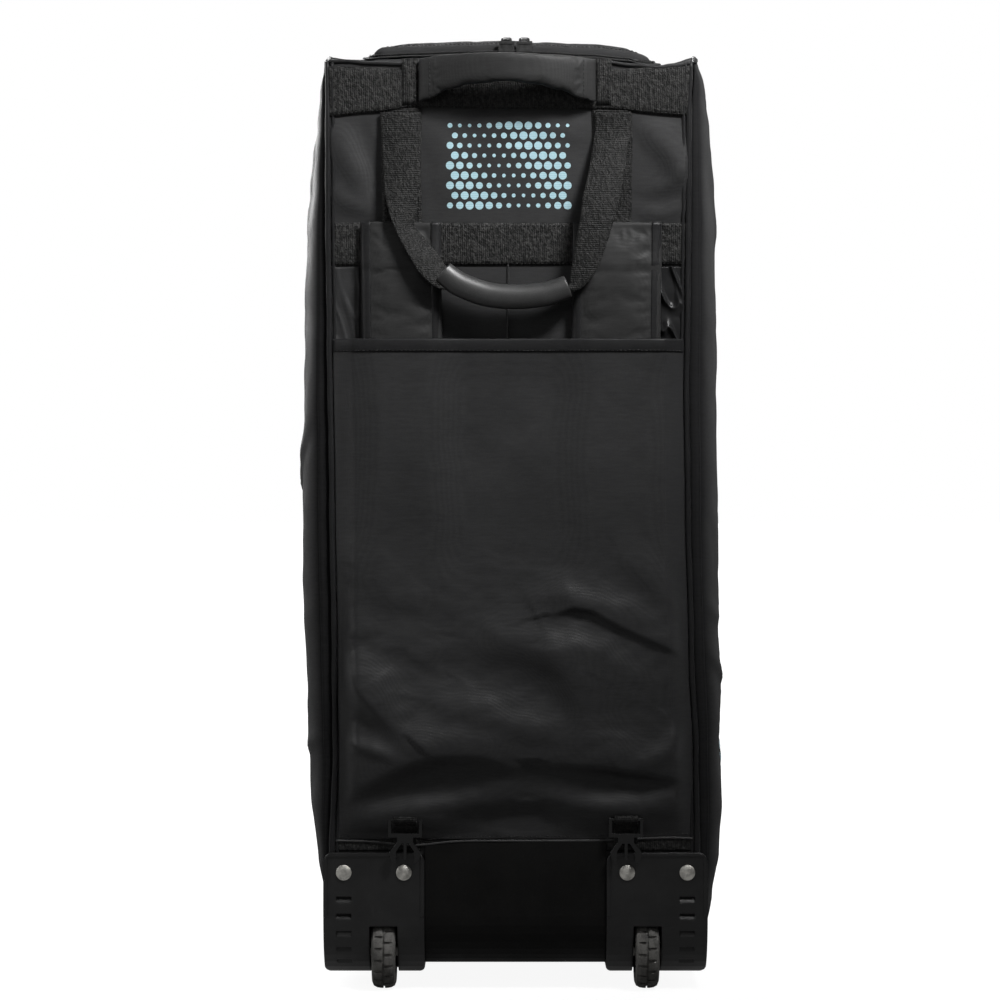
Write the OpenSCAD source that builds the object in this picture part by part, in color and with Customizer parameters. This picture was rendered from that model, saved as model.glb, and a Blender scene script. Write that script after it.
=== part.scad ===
// Wheeled hockey equipment bag, standing on end.
// X runs across the bag, Y from the back panel (negative) to the cover (positive), Z up from the floor.
// The origin lies on the floor, midway between the outermost points in X and in Y.

/* [Body] */
// Width of the back panel between its pipings
panel_w = 358; // [300:1:420]
// Depth of the bag from the back panel to the face of the cover
bag_d = 345; // [280:1:400]
// Height of the top edge of the back panel
shoulder_z = 935; // [820:5:1050]
// How far the top end rises between its edges
dome = 22; // [5:1:40]
// How far each gusset swells past its edges at mid height
bulge = 30; // [5:1:40]
// Thickness of the woven cloth with its lining
cloth_t = 2; // [1:0.5:4]
// Radius of the corner between the front and the top end
corner_r = 40; // [20:1:70]
// Radius of the piping along the back panel
piping_r = 3; // [2:0.5:4]
// Thickness of the stiffener board behind the back panel
board_t = 3; // [2:0.5:6]
// Room between the stiffener board and each side of the back panel
board_margin = 7; // [5:0.5:20]
// How far below the top of the back panel the stiffener board ends
board_drop = 61; // [55:1:120]

/* [Cover] */
// Width of the zipped cover
cover_w = 282; // [220:1:300]
// Height of the hinge seam of the cover above the floor
hinge_z = 120; // [100:1:250]
// How far the cover stands out from the frame around it
cover_rise = 10; // [6:1:20]
// Distance from the back panel to the rear edge of the cover, on the top end
cover_back = 30; // [20:1:80]
// Width of the zip tape beside the cover
tape_w = 8; // [5:0.5:12]
// Length of a zip slider
slider_l = 16; // [10:1:22]
// Length of a zip pull
pull_l = 30; // [18:1:45]

/* [Webbing and handles] */
// Width of the wide webbing
web_w = 42; // [30:1:50]
// Thickness of the wide webbing
web_t = 2; // [1:0.5:3]
// Height of the lower edge of the top band
top_band_z = 879; // [780:1:890]
// Height of the lower edge of the middle band
mid_band_z = 726; // [600:1:740]
// Length of the grab handle
handle_l = 168; // [120:1:180]
// Height of the grab handle's cover
handle_h = 46; // [35:1:55]
// How far the grab handle bows out
handle_bow = 19; // [12:1:19]
// Thickness of the grab handle's padding
handle_t = 10; // [6:1:12]
// Distance of each carry strap from the middle
carry_x = 105; // [98:1:120]
// Width of a carry strap
carry_w = 40; // [25:1:40]
// Length of the carry loop down to the ends of the grip
carry_l = 167; // [150:1:180]
// Radius of the grip
grip_r = 10; // [7:0.5:12]
// Distance between the ends of the grip
grip_span = 124; // [100:1:130]
// How far the grip sags between its ends
grip_sag = 28; // [15:1:35]

/* [Pocket and shoulder straps] */
// Room between each side of the stow pocket and the edge of the panel
pocket_margin = 4; // [2:1:25]
// Height of the pocket's mouth
pocket_top_z = 652; // [560:1:660]
// Height of the pocket's lower edge
pocket_low_z = 152; // [146:1:200]
// Height of the pocket's hem
hem_h = 12; // [8:1:20]
// Width of a padded shoulder strap
pad_w = 82; // [60:1:90]
// Thickness of a padded shoulder strap
pad_t = 12; // [8:1:14]
// Distance of each shoulder strap from the middle
pad_x = 105; // [95:1:115]
// Length of a shoulder strap's padding
pad_l = 370; // [300:5:400]
// Width of the narrow webbing and its buckles
buckle_web_w = 24; // [18:1:26]
// Distance of each lower buckle from the middle
buckle_x = 110; // [105:1:125]

/* [Base and wheels] */
// Thickness of the moulded wheel housings
shell_t = 5; // [3:0.5:7]
// Thickness of the moulded skid plate
skid_t = 3; // [2:0.5:4]
// Inner radius of the bend under the bag
bend_r = 50; // [35:1:60]
// How far the soles of the housings stand lower than the skid plate
sole = 7; // [2:1:12]
// Width of a wheel housing
housing_w = 101; // [90:1:110]
// Height of the top edge of a housing
housing_top_z = 140; // [130:1:141]
// Diameter of a wheel
wheel_d = 76; // [66:1:84]
// Width of a tyre
wheel_w = 24; // [18:1:26]
// Distance of each wheel from the outer edge of its housing
wheel_inset = 60; // [55:1:65]
// How far a wheel stands out behind its housing
wheel_out = 5; // [2:1:8]
// Room on each side of a wheel in its well
wheel_gap = 2; // [1.5:0.5:4]
// How far the base runs on in front of the wheel wells
base_run = 60; // [40:1:90]
// Height of the underside of the floor board
floor_z = 26; // [22:1:30]
// Thickness of the floor board
floor_t = 4; // [3:0.5:6]
// Outer diameter of a wheel bearing
bearing_d = 22; // [19:1:24]
// Width of a wheel bearing
bearing_w = 7; // [5:1:8]
// Diameter of an axle
axle_d = 8; // [6:1:10]
// Number of tread blocks in each row of a tyre
tread_n = 20; // [12:1:26]
// Depth of the tread
tread_depth = 2; // [1:0.5:3]
// Diameter of a rivet's cap
rivet_d = 15.5; // [12:0.5:18]
// Width of a front foot
foot_w = 44; // [30:1:60]
// Length of a front foot
foot_l = 60; // [40:1:80]

/* [Hidden] */
$fn = 48;
seat = 0.3;        // running clearance between pieces that move past each other
fit = 0.05;        // radial clearance of an axle in its bearing
sheet_gap = 0.6;   // room between a gusset and the sheets around it
rear_reach = web_t + pad_t + seat + 2 * grip_r + 0.5;
back_y = rear_reach - (bag_d + rear_reach) / 2;
front_y = back_y + bag_d;
frame_y = front_y - cover_rise;
frame_t = 2.5;
edge_x = panel_w / 2;
frame_x = edge_x + 8;
mid_y = (back_y + frame_y) / 2;
corner_y = frame_y - corner_r;
corner_z = top_z(corner_y) - corner_r;
floor_top = floor_z + floor_t;
housing_lap = 13;  // how far a housing reaches beyond the edge of the panel
housing_out = edge_x + housing_lap;
housing_in = housing_out - housing_w;
housing_x = housing_out - housing_w / 2;
wheel_x = housing_out - wheel_inset;
cover_x = cover_w / 2;
cover_rear = back_y + cover_back;
lap = 13;          // how far the cover laps over the frame around the opening
mouth_x = cover_x - lap;
bend_y = back_y + bend_r;
bend_z = floor_z + bend_r;
wheel_z = wheel_d / 2;
wheel_y = back_y - shell_t - wheel_out + wheel_z;
well_x = wheel_w / 2 + wheel_gap;
well_t = 3;
well_top = wheel_d + 6;
well_front = wheel_y + wheel_z + 4;
slot_top = wheel_d - 10;
base_front = well_front + base_run;
rim_t = 1.2;
rim_w = 4;
rib_pitch = 17;
rib_w = 15;
rib_h = 6;
rib_d = 3.5;
rivet_z = housing_top_z - 20;
rivet_dx = 30;
shaft_r = 2.5;
panel_low = well_top + well_t + 9;
handle_top = shoulder_z - 1;
handle_y = back_y - web_t - seat - 1.6;
carry_z = top_band_z;
carry_y = back_y - web_t - seat - 0.9;
carry_t = 1.5;
grip_y = back_y - web_t - pad_t - seat - grip_r;
grip_z = carry_z - carry_l;
grip_arc = (pow(grip_span / 2, 2) + pow(grip_sag, 2)) / (2 * grip_sag);
grip_a = asin(grip_span / 2 / grip_arc);
pad_top = mid_band_z + web_w + 2;
pad_low = pad_top - pad_l;
pocket_w = panel_w - 2 * pocket_margin;
pocket_d = web_t + pad_t + 0.6;
bar_r = 2;
buckle_t = 4;
bar_rise = 22;     // height of a buckle's bar above the pocket's foot
bar_out = 12.5;    // distance of a buckle's bar from the panel
bar_z = pocket_low_z + bar_rise;
bar_y = back_y - bar_out;
slider_h = cover_rise + 1;
slider_t = 5;

// Height of the top end's outer face above the floor
function top_z(y) = shoulder_z + dome * (1 - pow((y - mid_y) / (frame_y - mid_y), 2));

// Outline of the front and the top end in Y and Z, raised by lift, from height z0 to depth y1
function wrap_path(lift, z0, y1) = concat(
    [[frame_y + lift, z0]],
    [for (a = [0:15:90]) [corner_y + (corner_r + lift) * cos(a), corner_z + (corner_r + lift) * sin(a)]],
    [for (k = [1:10]) let (y = corner_y + (y1 - corner_y) * k / 10) [y, top_z(y) + lift]]);

function reversed(list) = [for (k = [len(list) - 1:-1:0]) list[k]];

// Quarter bend from the back to the underside, at radius r
function bend(r, a0, a1) = [for (k = [0:9]) let (a = a0 + (a1 - a0) * k / 9)
    [bend_y + r * cos(a), bend_z + r * sin(a)]];

// Faces of a closed sheet whose two grids have rows x cols points each
function grid_faces(rows, cols) = let (n = rows * cols) concat(
    [for (i = [0:rows - 2], j = [0:cols - 2]) let (p = i * cols + j) each
        [[p, p + cols, p + cols + 1], [p, p + cols + 1, p + 1]]],
    [for (i = [0:rows - 2], j = [0:cols - 2]) let (p = n + i * cols + j) each
        [[p, p + cols + 1, p + cols], [p, p + 1, p + cols + 1]]],
    [for (i = [0:rows - 2]) let (p = i * cols, q = p + n) each
        [[p, q, q + cols], [p, q + cols, p + cols]]],
    [for (i = [0:rows - 2]) let (p = i * cols + cols - 1, q = p + n) each
        [[p, q + cols, q], [p, p + cols, q + cols]]],
    [for (j = [0:cols - 2]) let (p = j, q = p + n) each
        [[p, q + 1, q], [p, p + 1, q + 1]]],
    [for (j = [0:cols - 2]) let (p = (rows - 1) * cols + j, q = p + n) each
        [[p, q, q + 1], [p, q + 1, p + 1]]]);

// Extrudes an outline drawn in Y and Z from x0 to x1
module across(x0, x1) {
    translate([x0, 0, 0])
        rotate([90, 0, 90])
            linear_extrude(x1 - x0)
                children();
}

// Extrudes an outline drawn in X and Z from depth y0 back to y0 - t
module backwards(y0, t) {
    translate([0, y0, 0])
        rotate([90, 0, 0])
            linear_extrude(t)
                children();
}

module rounded(w, h, r) {
    hull()
        for (x = [-1, 1], z = [-1, 1])
            translate([x * (w / 2 - r), z * (h / 2 - r)])
                circle(r, $fn = 32);
}

module rod(r, l) {
    rotate([0, 90, 0])
        cylinder(r = r, h = l, center = true);
}

// ---- bag shell ----

module back_panel() {
    color("#2c2c2e")
        difference() {
            translate([-edge_x, back_y, panel_low])
                cube([panel_w, cloth_t, shoulder_z - frame_t - panel_low]);
            rivet_places()
                rotate([90, 0, 0])
                    cylinder(r = shaft_r + fit, h = 20, center = true);
        }
}

board_low = housing_top_z + 5;
board_top = shoulder_z - board_drop;

module stiffener_board() {
    color("#202022")
        translate([0, back_y + cloth_t + board_t, (board_low + board_top) / 2])
            backwards(0, board_t)
                rounded(panel_w - 2 * board_margin, board_top - board_low, 15);
}

gusset_rows = 17;
gusset_cols = 17;
gusset_rear = back_y + piping_r + seat;
gusset_front = frame_y - frame_t - sheet_gap;

function eased(k, n) = (1 - cos(180 * k / (n - 1))) / 2;
function gusset_low(y) = y > bend_y - 17 ? floor_top
    : max(floor_top, bend_z - sqrt(max(0, pow(bend_r - 0.6, 2) - pow(bend_y - y, 2))));
function gusset_high(y) = y < corner_y ? top_z(y) - frame_t - sheet_gap
    : corner_z + sqrt(max(0, pow(corner_r - frame_t - sheet_gap, 2) - pow(y - corner_y, 2)));
function swell(y, z) = let (
    across = sin(180 * pow(max(0, (y - gusset_rear) / (gusset_front - gusset_rear)), 0.7)),
    up = sin(180 * min(1, max(0, (z - floor_top) / (shoulder_z - floor_top)))))
    pow(max(0, across), 0.6) * (2 + bulge * pow(max(0, up), 0.45));
function gusset_x(y, z) = edge_x + 1.5 + 5.5 * (y - gusset_rear) / (gusset_front - gusset_rear)
    + swell(y, z);
function gusset_grid(inset) = [for (i = [0:gusset_rows - 1], j = [0:gusset_cols - 1]) let (
    y = gusset_rear + (gusset_front - gusset_rear) * eased(j, gusset_cols),
    z = gusset_low(y) + (gusset_high(y) - gusset_low(y)) * eased(i, gusset_rows))
    [gusset_x(y, z) - inset, y, z]];

module gusset() {
    color("#29292b")
        polyhedron(concat(gusset_grid(0), gusset_grid(cloth_t)), grid_faces(gusset_rows, gusset_cols));
}

frame_low = hinge_z + lap;
frame_end = cover_rear + lap;

module top_end() {
    top = [for (k = [0:4]) let (y = back_y + (frame_end - back_y) * k / 4) [y, top_z(y)]];
    color("#2c2c2e")
        across(-frame_x, frame_x)
            polygon(concat(top, reversed([for (p = top) [p[0], p[1] - frame_t]])));
}

module front_panel() {
    color("#29292b")
        translate([-frame_x, frame_y - frame_t, floor_top])
            cube([2 * frame_x, frame_t, frame_low - floor_top]);
}

// The strip beside the cover, up the front and back along the top end
module cover_frame() {
    color("#2a2a2c")
        across(mouth_x, frame_x)
            polygon(concat(
                wrap_path(0, frame_low, frame_end),
                reversed(wrap_path(-frame_t, frame_low, frame_end))));
}

module floor_board() {
    color("#1b1b1c")
        difference() {
            translate([-frame_x - 3, bend_y, floor_z])
                cube([2 * frame_x + 6, frame_y - bend_y, floor_t]);
            for (s = [-1, 1])
                translate([s * wheel_x - well_x - well_t - seat, back_y, floor_z - 1])
                    cube([2 * (well_x + well_t + seat), well_front + well_t + seat - back_y, floor_t + 2]);
        }
}

module piping() {
    color("#1c1c1d")
        translate([edge_x + piping_r, back_y, housing_top_z + 1.5])
            cylinder(r = piping_r, h = shoulder_z - frame_t - seat - housing_top_z - 1.5);
}

module band(z, h) {
    color("#302e2a")
        translate([-edge_x, back_y - web_t, z])
            cube([panel_w, web_t, h]);
}

module top_band() {
    band(top_band_z, web_w);
}

module middle_band() {
    band(mid_band_z, web_w);
}

// Upright webbing sewn to the panel behind the carry loop
module anchor_webbing() {
    color("#302e2a")
        translate([carry_x - carry_w / 2, back_y - carry_t, mid_band_z + web_w])
            cube([carry_w, carry_t, top_band_z - mid_band_z - web_w]);
}

module base_webbing() {
    color("#302e2a")
        for (s = [0, 1])
            mirror([s, 0, 0])
                translate([housing_in, back_y - web_t, housing_top_z + 0.8])
                    cube([edge_x - housing_in, web_t, pocket_low_z - housing_top_z - 1.1]);
}

// ---- pocket and shoulder straps ----

// Height over which the pocket's foot tapers out to its full depth
pocket_taper = 0.36 * (pocket_top_z - pocket_low_z);

module pocket_outline(inset) {
    knee = pocket_low_z + pocket_taper;
    polygon([
        [back_y, pocket_low_z + inset],
        [back_y - 3 + inset / 2, pocket_low_z + inset],
        [back_y - 5 + inset, pocket_low_z + 8 + inset / 2],
        [back_y - pocket_d - cloth_t + inset, knee],
        [back_y - pocket_d - cloth_t + inset, pocket_top_z + inset],
        [back_y, pocket_top_z + inset]]);
}

module stow_pocket() {
    color("#2b2b2c")
        difference() {
            across(-pocket_w / 2, pocket_w / 2)
                pocket_outline(0);
            across(cloth_t - pocket_w / 2, pocket_w / 2 - cloth_t)
                pocket_outline(cloth_t);
        }
}

module pocket_hem() {
    color("#1d1d1e")
        translate([-pocket_w / 2, back_y - pocket_d - cloth_t - 1, pocket_top_z - hem_h])
            cube([pocket_w, 1, hem_h]);
}

module pocket_lining() {
    color("#39393b")
        translate([pad_x + pad_w / 2 + 1, back_y - 3, pocket_top_z - 40])
            cube([pocket_w / 2 - cloth_t - pad_x - pad_w / 2 - 2, 3, mid_band_z - pocket_top_z + 38]);
}

module shoulder_strap() {
    color("#2f2f30")
        translate([pad_x, 0, (pad_top + pad_low) / 2])
            backwards(back_y - web_t, pad_t)
                rounded(pad_w, pad_l, 16);
}

module strap_webbing() {
    color("#262522")
        translate([pad_x - buckle_web_w / 2, back_y - web_t - pad_t / 2 - 1, pad_low - 30])
            cube([buckle_web_w, 2, 30]);
}

receiver_l = 40;

module receiver() {
    color("#151516")
        translate([pad_x, back_y - web_t - pad_t / 2, pad_low - 30 - receiver_l / 2])
            difference() {
                cube([buckle_web_w + 8, pad_t - 2, receiver_l], center = true);
                translate([0, 0, -4])
                    cube([buckle_web_w, pad_t - 6, receiver_l], center = true);
                translate([0, 0, -receiver_l / 5])
                    cube([buckle_web_w + 10, pad_t - 6, receiver_l / 3], center = true);
            }
}

// ---- base ----

// A wall of thickness t from height top down round the bend and forward, with a sole under it
module base_profile(t, top, below) {
    polygon(concat(
        [[back_y - t, top]],
        [for (p = bend(1, 180, 270)) [
            bend_y + (p[0] - bend_y) * (bend_r + t),
            bend_z + (p[1] - bend_z) * (bend_r + t + below)]],
        [[base_front - below, floor_z - t - below], [base_front, floor_z - t], [base_front, floor_z]],
        bend(bend_r, 270, 180),
        [[back_y, top]]));
}

module skid_plate() {
    color("#171717")
        across(seat - housing_in, housing_in - seat)
            base_profile(skid_t, pocket_low_z - 1, 0);
}

module rivet_places() {
    for (s = [-1, 1], d = [-1, 1])
        translate([s * (housing_x + d * rivet_dx), back_y, rivet_z])
            children();
}

// One louvre of the row beside the wheel, at distance s along the face above the bend
module rib_cut(s) {
    r = bend_r + shell_t;
    angle = s < 0 ? -s / (r + sole / 2) * 180 / PI : 0;
    x = housing_x + rivet_dx;
    translate([0, bend_y - r * cos(angle), bend_z + max(0, s) - (r + sole) * sin(angle)])
        rotate([angle, 0, 0])
            across(x - rib_w / 2, x + rib_w / 2)
                polygon([[-1, -rib_h / 2 - 1], [0, -rib_h / 2], [rib_d, rib_h / 2 - 1],
                    [rib_d, rib_h / 2], [-1, rib_h / 2]]);
}

module well_cheek() {
    difference() {
        across(0, well_t)
            polygon(concat(
                [[back_y - 1, well_top + well_t]],
                bend(bend_r + 1, 180, 270),
                [[well_front + well_t, floor_z - 1], [well_front + well_t, well_top + well_t]]));
        translate([0, wheel_y, wheel_z])
            rod(axle_d / 2 + fit, 3 * well_t);
    }
}

module housing_corner(x, s) {
    corner = 10;
    reach = 4 * shell_t;
    translate([x, back_y, housing_top_z])
        difference() {
            translate([-corner, -reach, -corner])
                cube([2 * corner, 2 * reach, 2 * corner]);
            translate([s * corner, 0, -corner])
                rotate([90, 0, 0])
                    cylinder(r = corner, h = 3 * reach, center = true);
            translate([s > 0 ? corner : -3 * corner, -1.5 * reach, -2 * corner])
                cube([2 * corner, 3 * reach, 4 * corner]);
        }
}

// Rounds the sole along one side of a housing
module sole_corner(x, s) {
    r = shell_t + sole - 3;
    l = base_front + 40 - back_y;
    translate([x + s * r, back_y - 20, floor_z - shell_t - sole + r])
        rotate([-90, 0, 0])
            difference() {
                translate([s > 0 ? -r - 1 : 0, 0, 0])
                    cube([r + 1, r + 1, l]);
                cylinder(r = r, h = l);
            }
}

module wheel_housing() {
    color("#1a1a1a")
        difference() {
            union() {
                across(housing_in, housing_in + housing_w)
                    base_profile(shell_t, housing_top_z, sole);
                translate([housing_x, 0, (housing_top_z + bend_z) / 2])
                    backwards(back_y - shell_t + 0.2, rim_t + 0.2)
                        difference() {
                            square([housing_w, housing_top_z - bend_z], center = true);
                            translate([0, -rim_w])
                                square([housing_w - 2 * rim_w, housing_top_z - bend_z], center = true);
                        }
                translate([wheel_x + well_x, 0, 0])
                    well_cheek();
                translate([wheel_x - well_x - well_t, 0, 0])
                    well_cheek();
                translate([wheel_x - well_x - well_t, back_y - 1, well_top])
                    cube([2 * (well_x + well_t), well_front + well_t + 1 - back_y, well_t]);
                translate([wheel_x - well_x - well_t, well_front, floor_z - 1])
                    cube([2 * (well_x + well_t), well_t, well_top + well_t + 1 - floor_z]);
            }
            translate([wheel_x - well_x, back_y - 30, -1])
                cube([2 * well_x, well_front + 30 - back_y, slot_top + 1]);
            housing_corner(housing_in, 1);
            housing_corner(housing_out, -1);
            sole_corner(housing_in, 1);
            sole_corner(housing_out, -1);
            for (k = [0:4])
                rib_cut(rib_pitch * (1 - k));
            for (d = [-1, 1])
                translate([housing_x + d * rivet_dx, back_y, rivet_z])
                    rotate([90, 0, 0])
                        cylinder(r = shaft_r + fit, h = 40, center = true);
        }
}

module housing_rivets() {
    color("#a8a396")
        rivet_places()
            rotate([90, 0, 0]) {
                translate([0, 0, shell_t])
                    intersection() {
                        cylinder(r = rivet_d / 2, h = 3.4);
                        translate([0, 0, 3.4 - rivet_d])
                            sphere(rivet_d);
                    }
                translate([0, 0, -cloth_t])
                    cylinder(r = shaft_r, h = shell_t + cloth_t + 1);
                translate([0, 0, -cloth_t - 1.5])
                    cylinder(r = 6, h = 1.5);
            }
}

module foot() {
    color("#1a1a1a")
        translate([wheel_x, 0, 0])
            difference() {
                across(-foot_w / 2, foot_w / 2)
                    polygon([
                        [frame_y - foot_l - 8, floor_z],
                        [frame_y - foot_l, 4],
                        [frame_y - foot_l + 5, 0],
                        [frame_y - 15, 0],
                        [frame_y - 8, 6],
                        [frame_y - 2, floor_z]]);
                for (d = [-1, 1])
                    translate([d * foot_w / 4, frame_y - foot_l / 2 - 5, -1])
                        cylinder(r = 4.5, h = floor_z - 5);
                for (d = [-1, 1])
                    translate([d * foot_w / 4, frame_y - foot_l / 2 - 5, 0])
                        cylinder(r = 2 + fit, h = floor_z + 1);
            }
}

module foot_screws() {
    color("#8a8a88")
        for (s = [-1, 1], d = [-1, 1])
            translate([s * wheel_x + d * foot_w / 4, frame_y - foot_l / 2 - 5, 0]) {
                translate([0, 0, floor_z - 6 - 2.4])
                    cylinder(r = 4, h = 2.4);
                translate([0, 0, floor_z - 7])
                    cylinder(r = 2, h = 7);
            }
}

// ---- wheels ----

hub_r = wheel_z - 10;
boss_r = bearing_d / 2 + 3;
hub_w = wheel_w - 2;
axle_head_r = axle_d / 2 + 1.5;

module at_wheel() {
    translate([wheel_x, wheel_y, wheel_z])
        rotate([0, 90, 0])
            children();
}

module tyre() {
    crown = wheel_w / 2;
    color("#232322")
        at_wheel()
            difference() {
                rotate_extrude($fn = 96)
                    polygon([
                        [hub_r, -crown + 1.5],
                        [wheel_z - 6, -crown],
                        [wheel_z - 2.5, -crown + 1.5],
                        [wheel_z - 0.6, -crown + 5],
                        [wheel_z, -3],
                        [wheel_z, 3],
                        [wheel_z - 0.6, crown - 5],
                        [wheel_z - 2.5, crown - 1.5],
                        [wheel_z - 6, crown],
                        [hub_r, crown - 1.5]]);
                rotate_extrude($fn = 96)
                    translate([wheel_z - tread_depth, -1])
                        square([tread_depth + 1, 2]);
                for (k = [0:tread_n - 1], s = [0, 1])
                    rotate([0, 0, 360 * (k + 0.5 + s / 2) / tread_n])
                        translate([wheel_z - tread_depth, -1.5, s == 0 ? 0 : -crown - 1])
                            cube([tread_depth + 2, 3, crown + 1]);
            }
}

module hub() {
    color("#2e2e2f")
        at_wheel()
            difference() {
                rotate_extrude()
                    polygon([
                        [bearing_d / 2, -hub_w / 2],
                        [boss_r, -hub_w / 2],
                        [boss_r + 1, -2.5],
                        [hub_r - 3, -2.5],
                        [hub_r - 2, -wheel_w / 2 + 1.5],
                        [hub_r, -wheel_w / 2 + 1.5],
                        [hub_r, wheel_w / 2 - 1.5],
                        [hub_r - 2, wheel_w / 2 - 1.5],
                        [hub_r - 3, 2.5],
                        [boss_r + 1, 2.5],
                        [boss_r, hub_w / 2],
                        [bearing_d / 2, hub_w / 2],
                        [bearing_d / 2, hub_w / 2 - bearing_w],
                        [axle_d / 2 + 3, hub_w / 2 - bearing_w],
                        [axle_d / 2 + 3, bearing_w - hub_w / 2],
                        [bearing_d / 2, bearing_w - hub_w / 2]]);
                for (k = [0:5])
                    rotate([0, 0, 60 * k])
                        translate([(boss_r + hub_r) / 2 - 0.5, 0, 0])
                            cylinder(r = 3, h = wheel_w, center = true);
            }
}

module bearings() {
    color("#9c9c98")
        at_wheel()
            for (s = [-1, 1])
                translate([0, 0, s * (hub_w - bearing_w) / 2])
                    rotate_extrude()
                        difference() {
                            translate([axle_d / 2 + fit, -bearing_w / 2])
                                square([bearing_d / 2 - axle_d / 2 - fit, bearing_w]);
                            for (t = [-1, 1])
                                translate([axle_d / 2 + 2.5, t * bearing_w / 2 - 0.5])
                                    square([bearing_d / 2 - axle_d / 2 - 4.5, 1]);
                        }
}

module axle() {
    color("#8f8f8c")
        at_wheel() {
            translate([0, 0, -well_x - well_t - 8])
                cylinder(r = axle_d / 2, h = 2 * (well_x + well_t) + 8);
            translate([0, 0, well_x + well_t])
                cylinder(r = axle_head_r, h = 4);
        }
}

module axle_nuts() {
    color("#8f8f8c")
        for (s = [0, 1])
            mirror([s, 0, 0])
                at_wheel()
                    translate([0, 0, -well_x - well_t - 6])
                        difference() {
                            cylinder(r = axle_head_r + 0.5, h = 6, $fn = 6);
                            translate([0, 0, -1])
                                cylinder(r = axle_d / 2, h = 8, $fn = 48);
                        }
}

module axle_spacers() {
    l = well_x - hub_w / 2 - 0.1;
    color("#77777a")
        for (s = [0, 1], d = [-1, 1])
            mirror([s, 0, 0])
                at_wheel()
                    translate([0, 0, d * (well_x - l / 2)])
                        difference() {
                            cylinder(r = axle_d / 2 + 1.8, h = l, center = true);
                            cylinder(r = axle_d / 2 + fit, h = l + 1, center = true);
                        }
}

// ---- cover and zip ----

cover_low = hinge_z + seat;
cover_gap = 1;
tape_lift = 0.3;
cover_t = cloth_t;

// A strip that follows the cover's edge between two lifts
module cover_strip(x0, x1, low, high) {
    across(x0, x1)
        polygon(concat(
            wrap_path(high, cover_low, cover_rear),
            reversed(wrap_path(low, cover_low, cover_rear))));
}

module cover() {
    color("#2b2b2d")
        union() {
            cover_strip(-cover_x, cover_x, cover_rise - cover_t, cover_rise);
            for (s = [0, 1])
                mirror([s, 0, 0])
                    cover_strip(cover_x - cover_t, cover_x, cover_gap, cover_rise - cover_t / 2);
            across(-cover_x, cover_x)
                polygon([
                    [cover_rear, top_z(cover_rear) + cover_gap],
                    [cover_rear + cover_t, top_z(cover_rear) + cover_gap],
                    [cover_rear + cover_t, top_z(cover_rear) + cover_rise - 0.5],
                    [cover_rear, top_z(cover_rear) + cover_rise - 0.5]]);
        }
}

module hinge_tape() {
    color("#1d1d1e")
        translate([-cover_x, frame_y, hinge_z - 20])
            cube([2 * cover_x, cover_gap, 20]);
}

module zip_bag_tape() {
    x = cover_x + 1.4 + seat;
    color("#161617")
        union() {
            for (s = [0, 1])
                mirror([s, 0, 0])
                    across(x, x + tape_w)
                        polygon(concat(
                            wrap_path(tape_lift + 1, cover_low, cover_rear - 1),
                            reversed(wrap_path(tape_lift, cover_low, cover_rear - 1))));
            across(-x - tape_w, x + tape_w)
                polygon([
                    [cover_rear - 1, top_z(cover_rear - 1) + tape_lift],
                    [cover_rear - 1, top_z(cover_rear - 1) + tape_lift + 1],
                    [cover_rear - 1 - tape_w, top_z(cover_rear - 1 - tape_w) + tape_lift + 1],
                    [cover_rear - 1 - tape_w, top_z(cover_rear - 1 - tape_w) + tape_lift]]);
        }
}

module zip_cover_tape() {
    color("#1a1a1b")
        for (s = [0, 1])
            mirror([s, 0, 0])
                cover_strip(cover_x, cover_x + 1.4, seat, 5);
}

slider_x = slider_l / 2 + 1;
slider_z = top_z(cover_rear) + tape_lift + 1 + seat;
pull_y = cover_rear - seat - slider_t / 2;
pull_z = slider_z + slider_h + 1.4;
pull_tilt = atan((top_z(cover_rear + pull_l) - top_z(cover_rear)) / pull_l) + 1;

module slider() {
    color("#3a3a3b")
        translate([slider_x, pull_y, slider_z])
            difference() {
                union() {
                    translate([0, 0, slider_h / 2])
                        cube([slider_l, slider_t, slider_h], center = true);
                    for (d = [-1, 1])
                        translate([d * 4, 0, slider_h + 1])
                            cube([2, slider_t, 4], center = true);
                }
                translate([0, 0, slider_h + 1.4])
                    rod(0.9 + fit, slider_l);
                translate([0, -slider_t / 2, slider_h / 2])
                    cube([slider_l - 4, 2, slider_h - 6], center = true);
            }
}

module pull() {
    color("#303031")
        translate([slider_x, pull_y, pull_z])
            rotate([pull_tilt, 0, 0]) {
                rod(0.9, 11);
                difference() {
                    translate([0, 0, -0.9])
                        linear_extrude(1.8)
                            polygon([[-2.5, 0], [2.5, 0], [4, pull_l], [-4, pull_l]]);
                    translate([0, pull_l - 6, 0])
                        cylinder(r = 2, h = 10, center = true);
                }
            }
}

// ---- handles ----

module grab_handle() {
    half = handle_l / 2;
    inner = [for (k = [-10:10]) let (x = half * k / 10)
        [x, handle_y + 1.2 - handle_bow * pow(cos(9 * k), 0.7)]];
    outer = [for (k = [-10:10]) let (x = half * k / 10)
        [x, handle_y - 1.2 - (handle_bow + handle_t - 2.4) * pow(cos(9 * k), 0.7)]];
    rise = 17;
    arch = (pow(half - 8, 2) + pow(rise, 2)) / (2 * rise);
    color("#313132")
        translate([0, 0, handle_top - handle_h])
            difference() {
                linear_extrude(handle_h)
                    polygon(concat(inner, reversed(outer)));
                translate([0, handle_y, rise - arch])
                    rotate([90, 0, 0])
                        cylinder(r = arch, h = 4 * (handle_bow + handle_t), center = true, $fn = 96);
            }
}

module handle_tabs() {
    color("#29292a")
        for (s = [0, 1])
            mirror([s, 0, 0])
                translate([handle_l / 2 + seat, back_y - web_t - 2.5, top_band_z + web_w - 30])
                    cube([14, 2.5, 30]);
}

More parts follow.
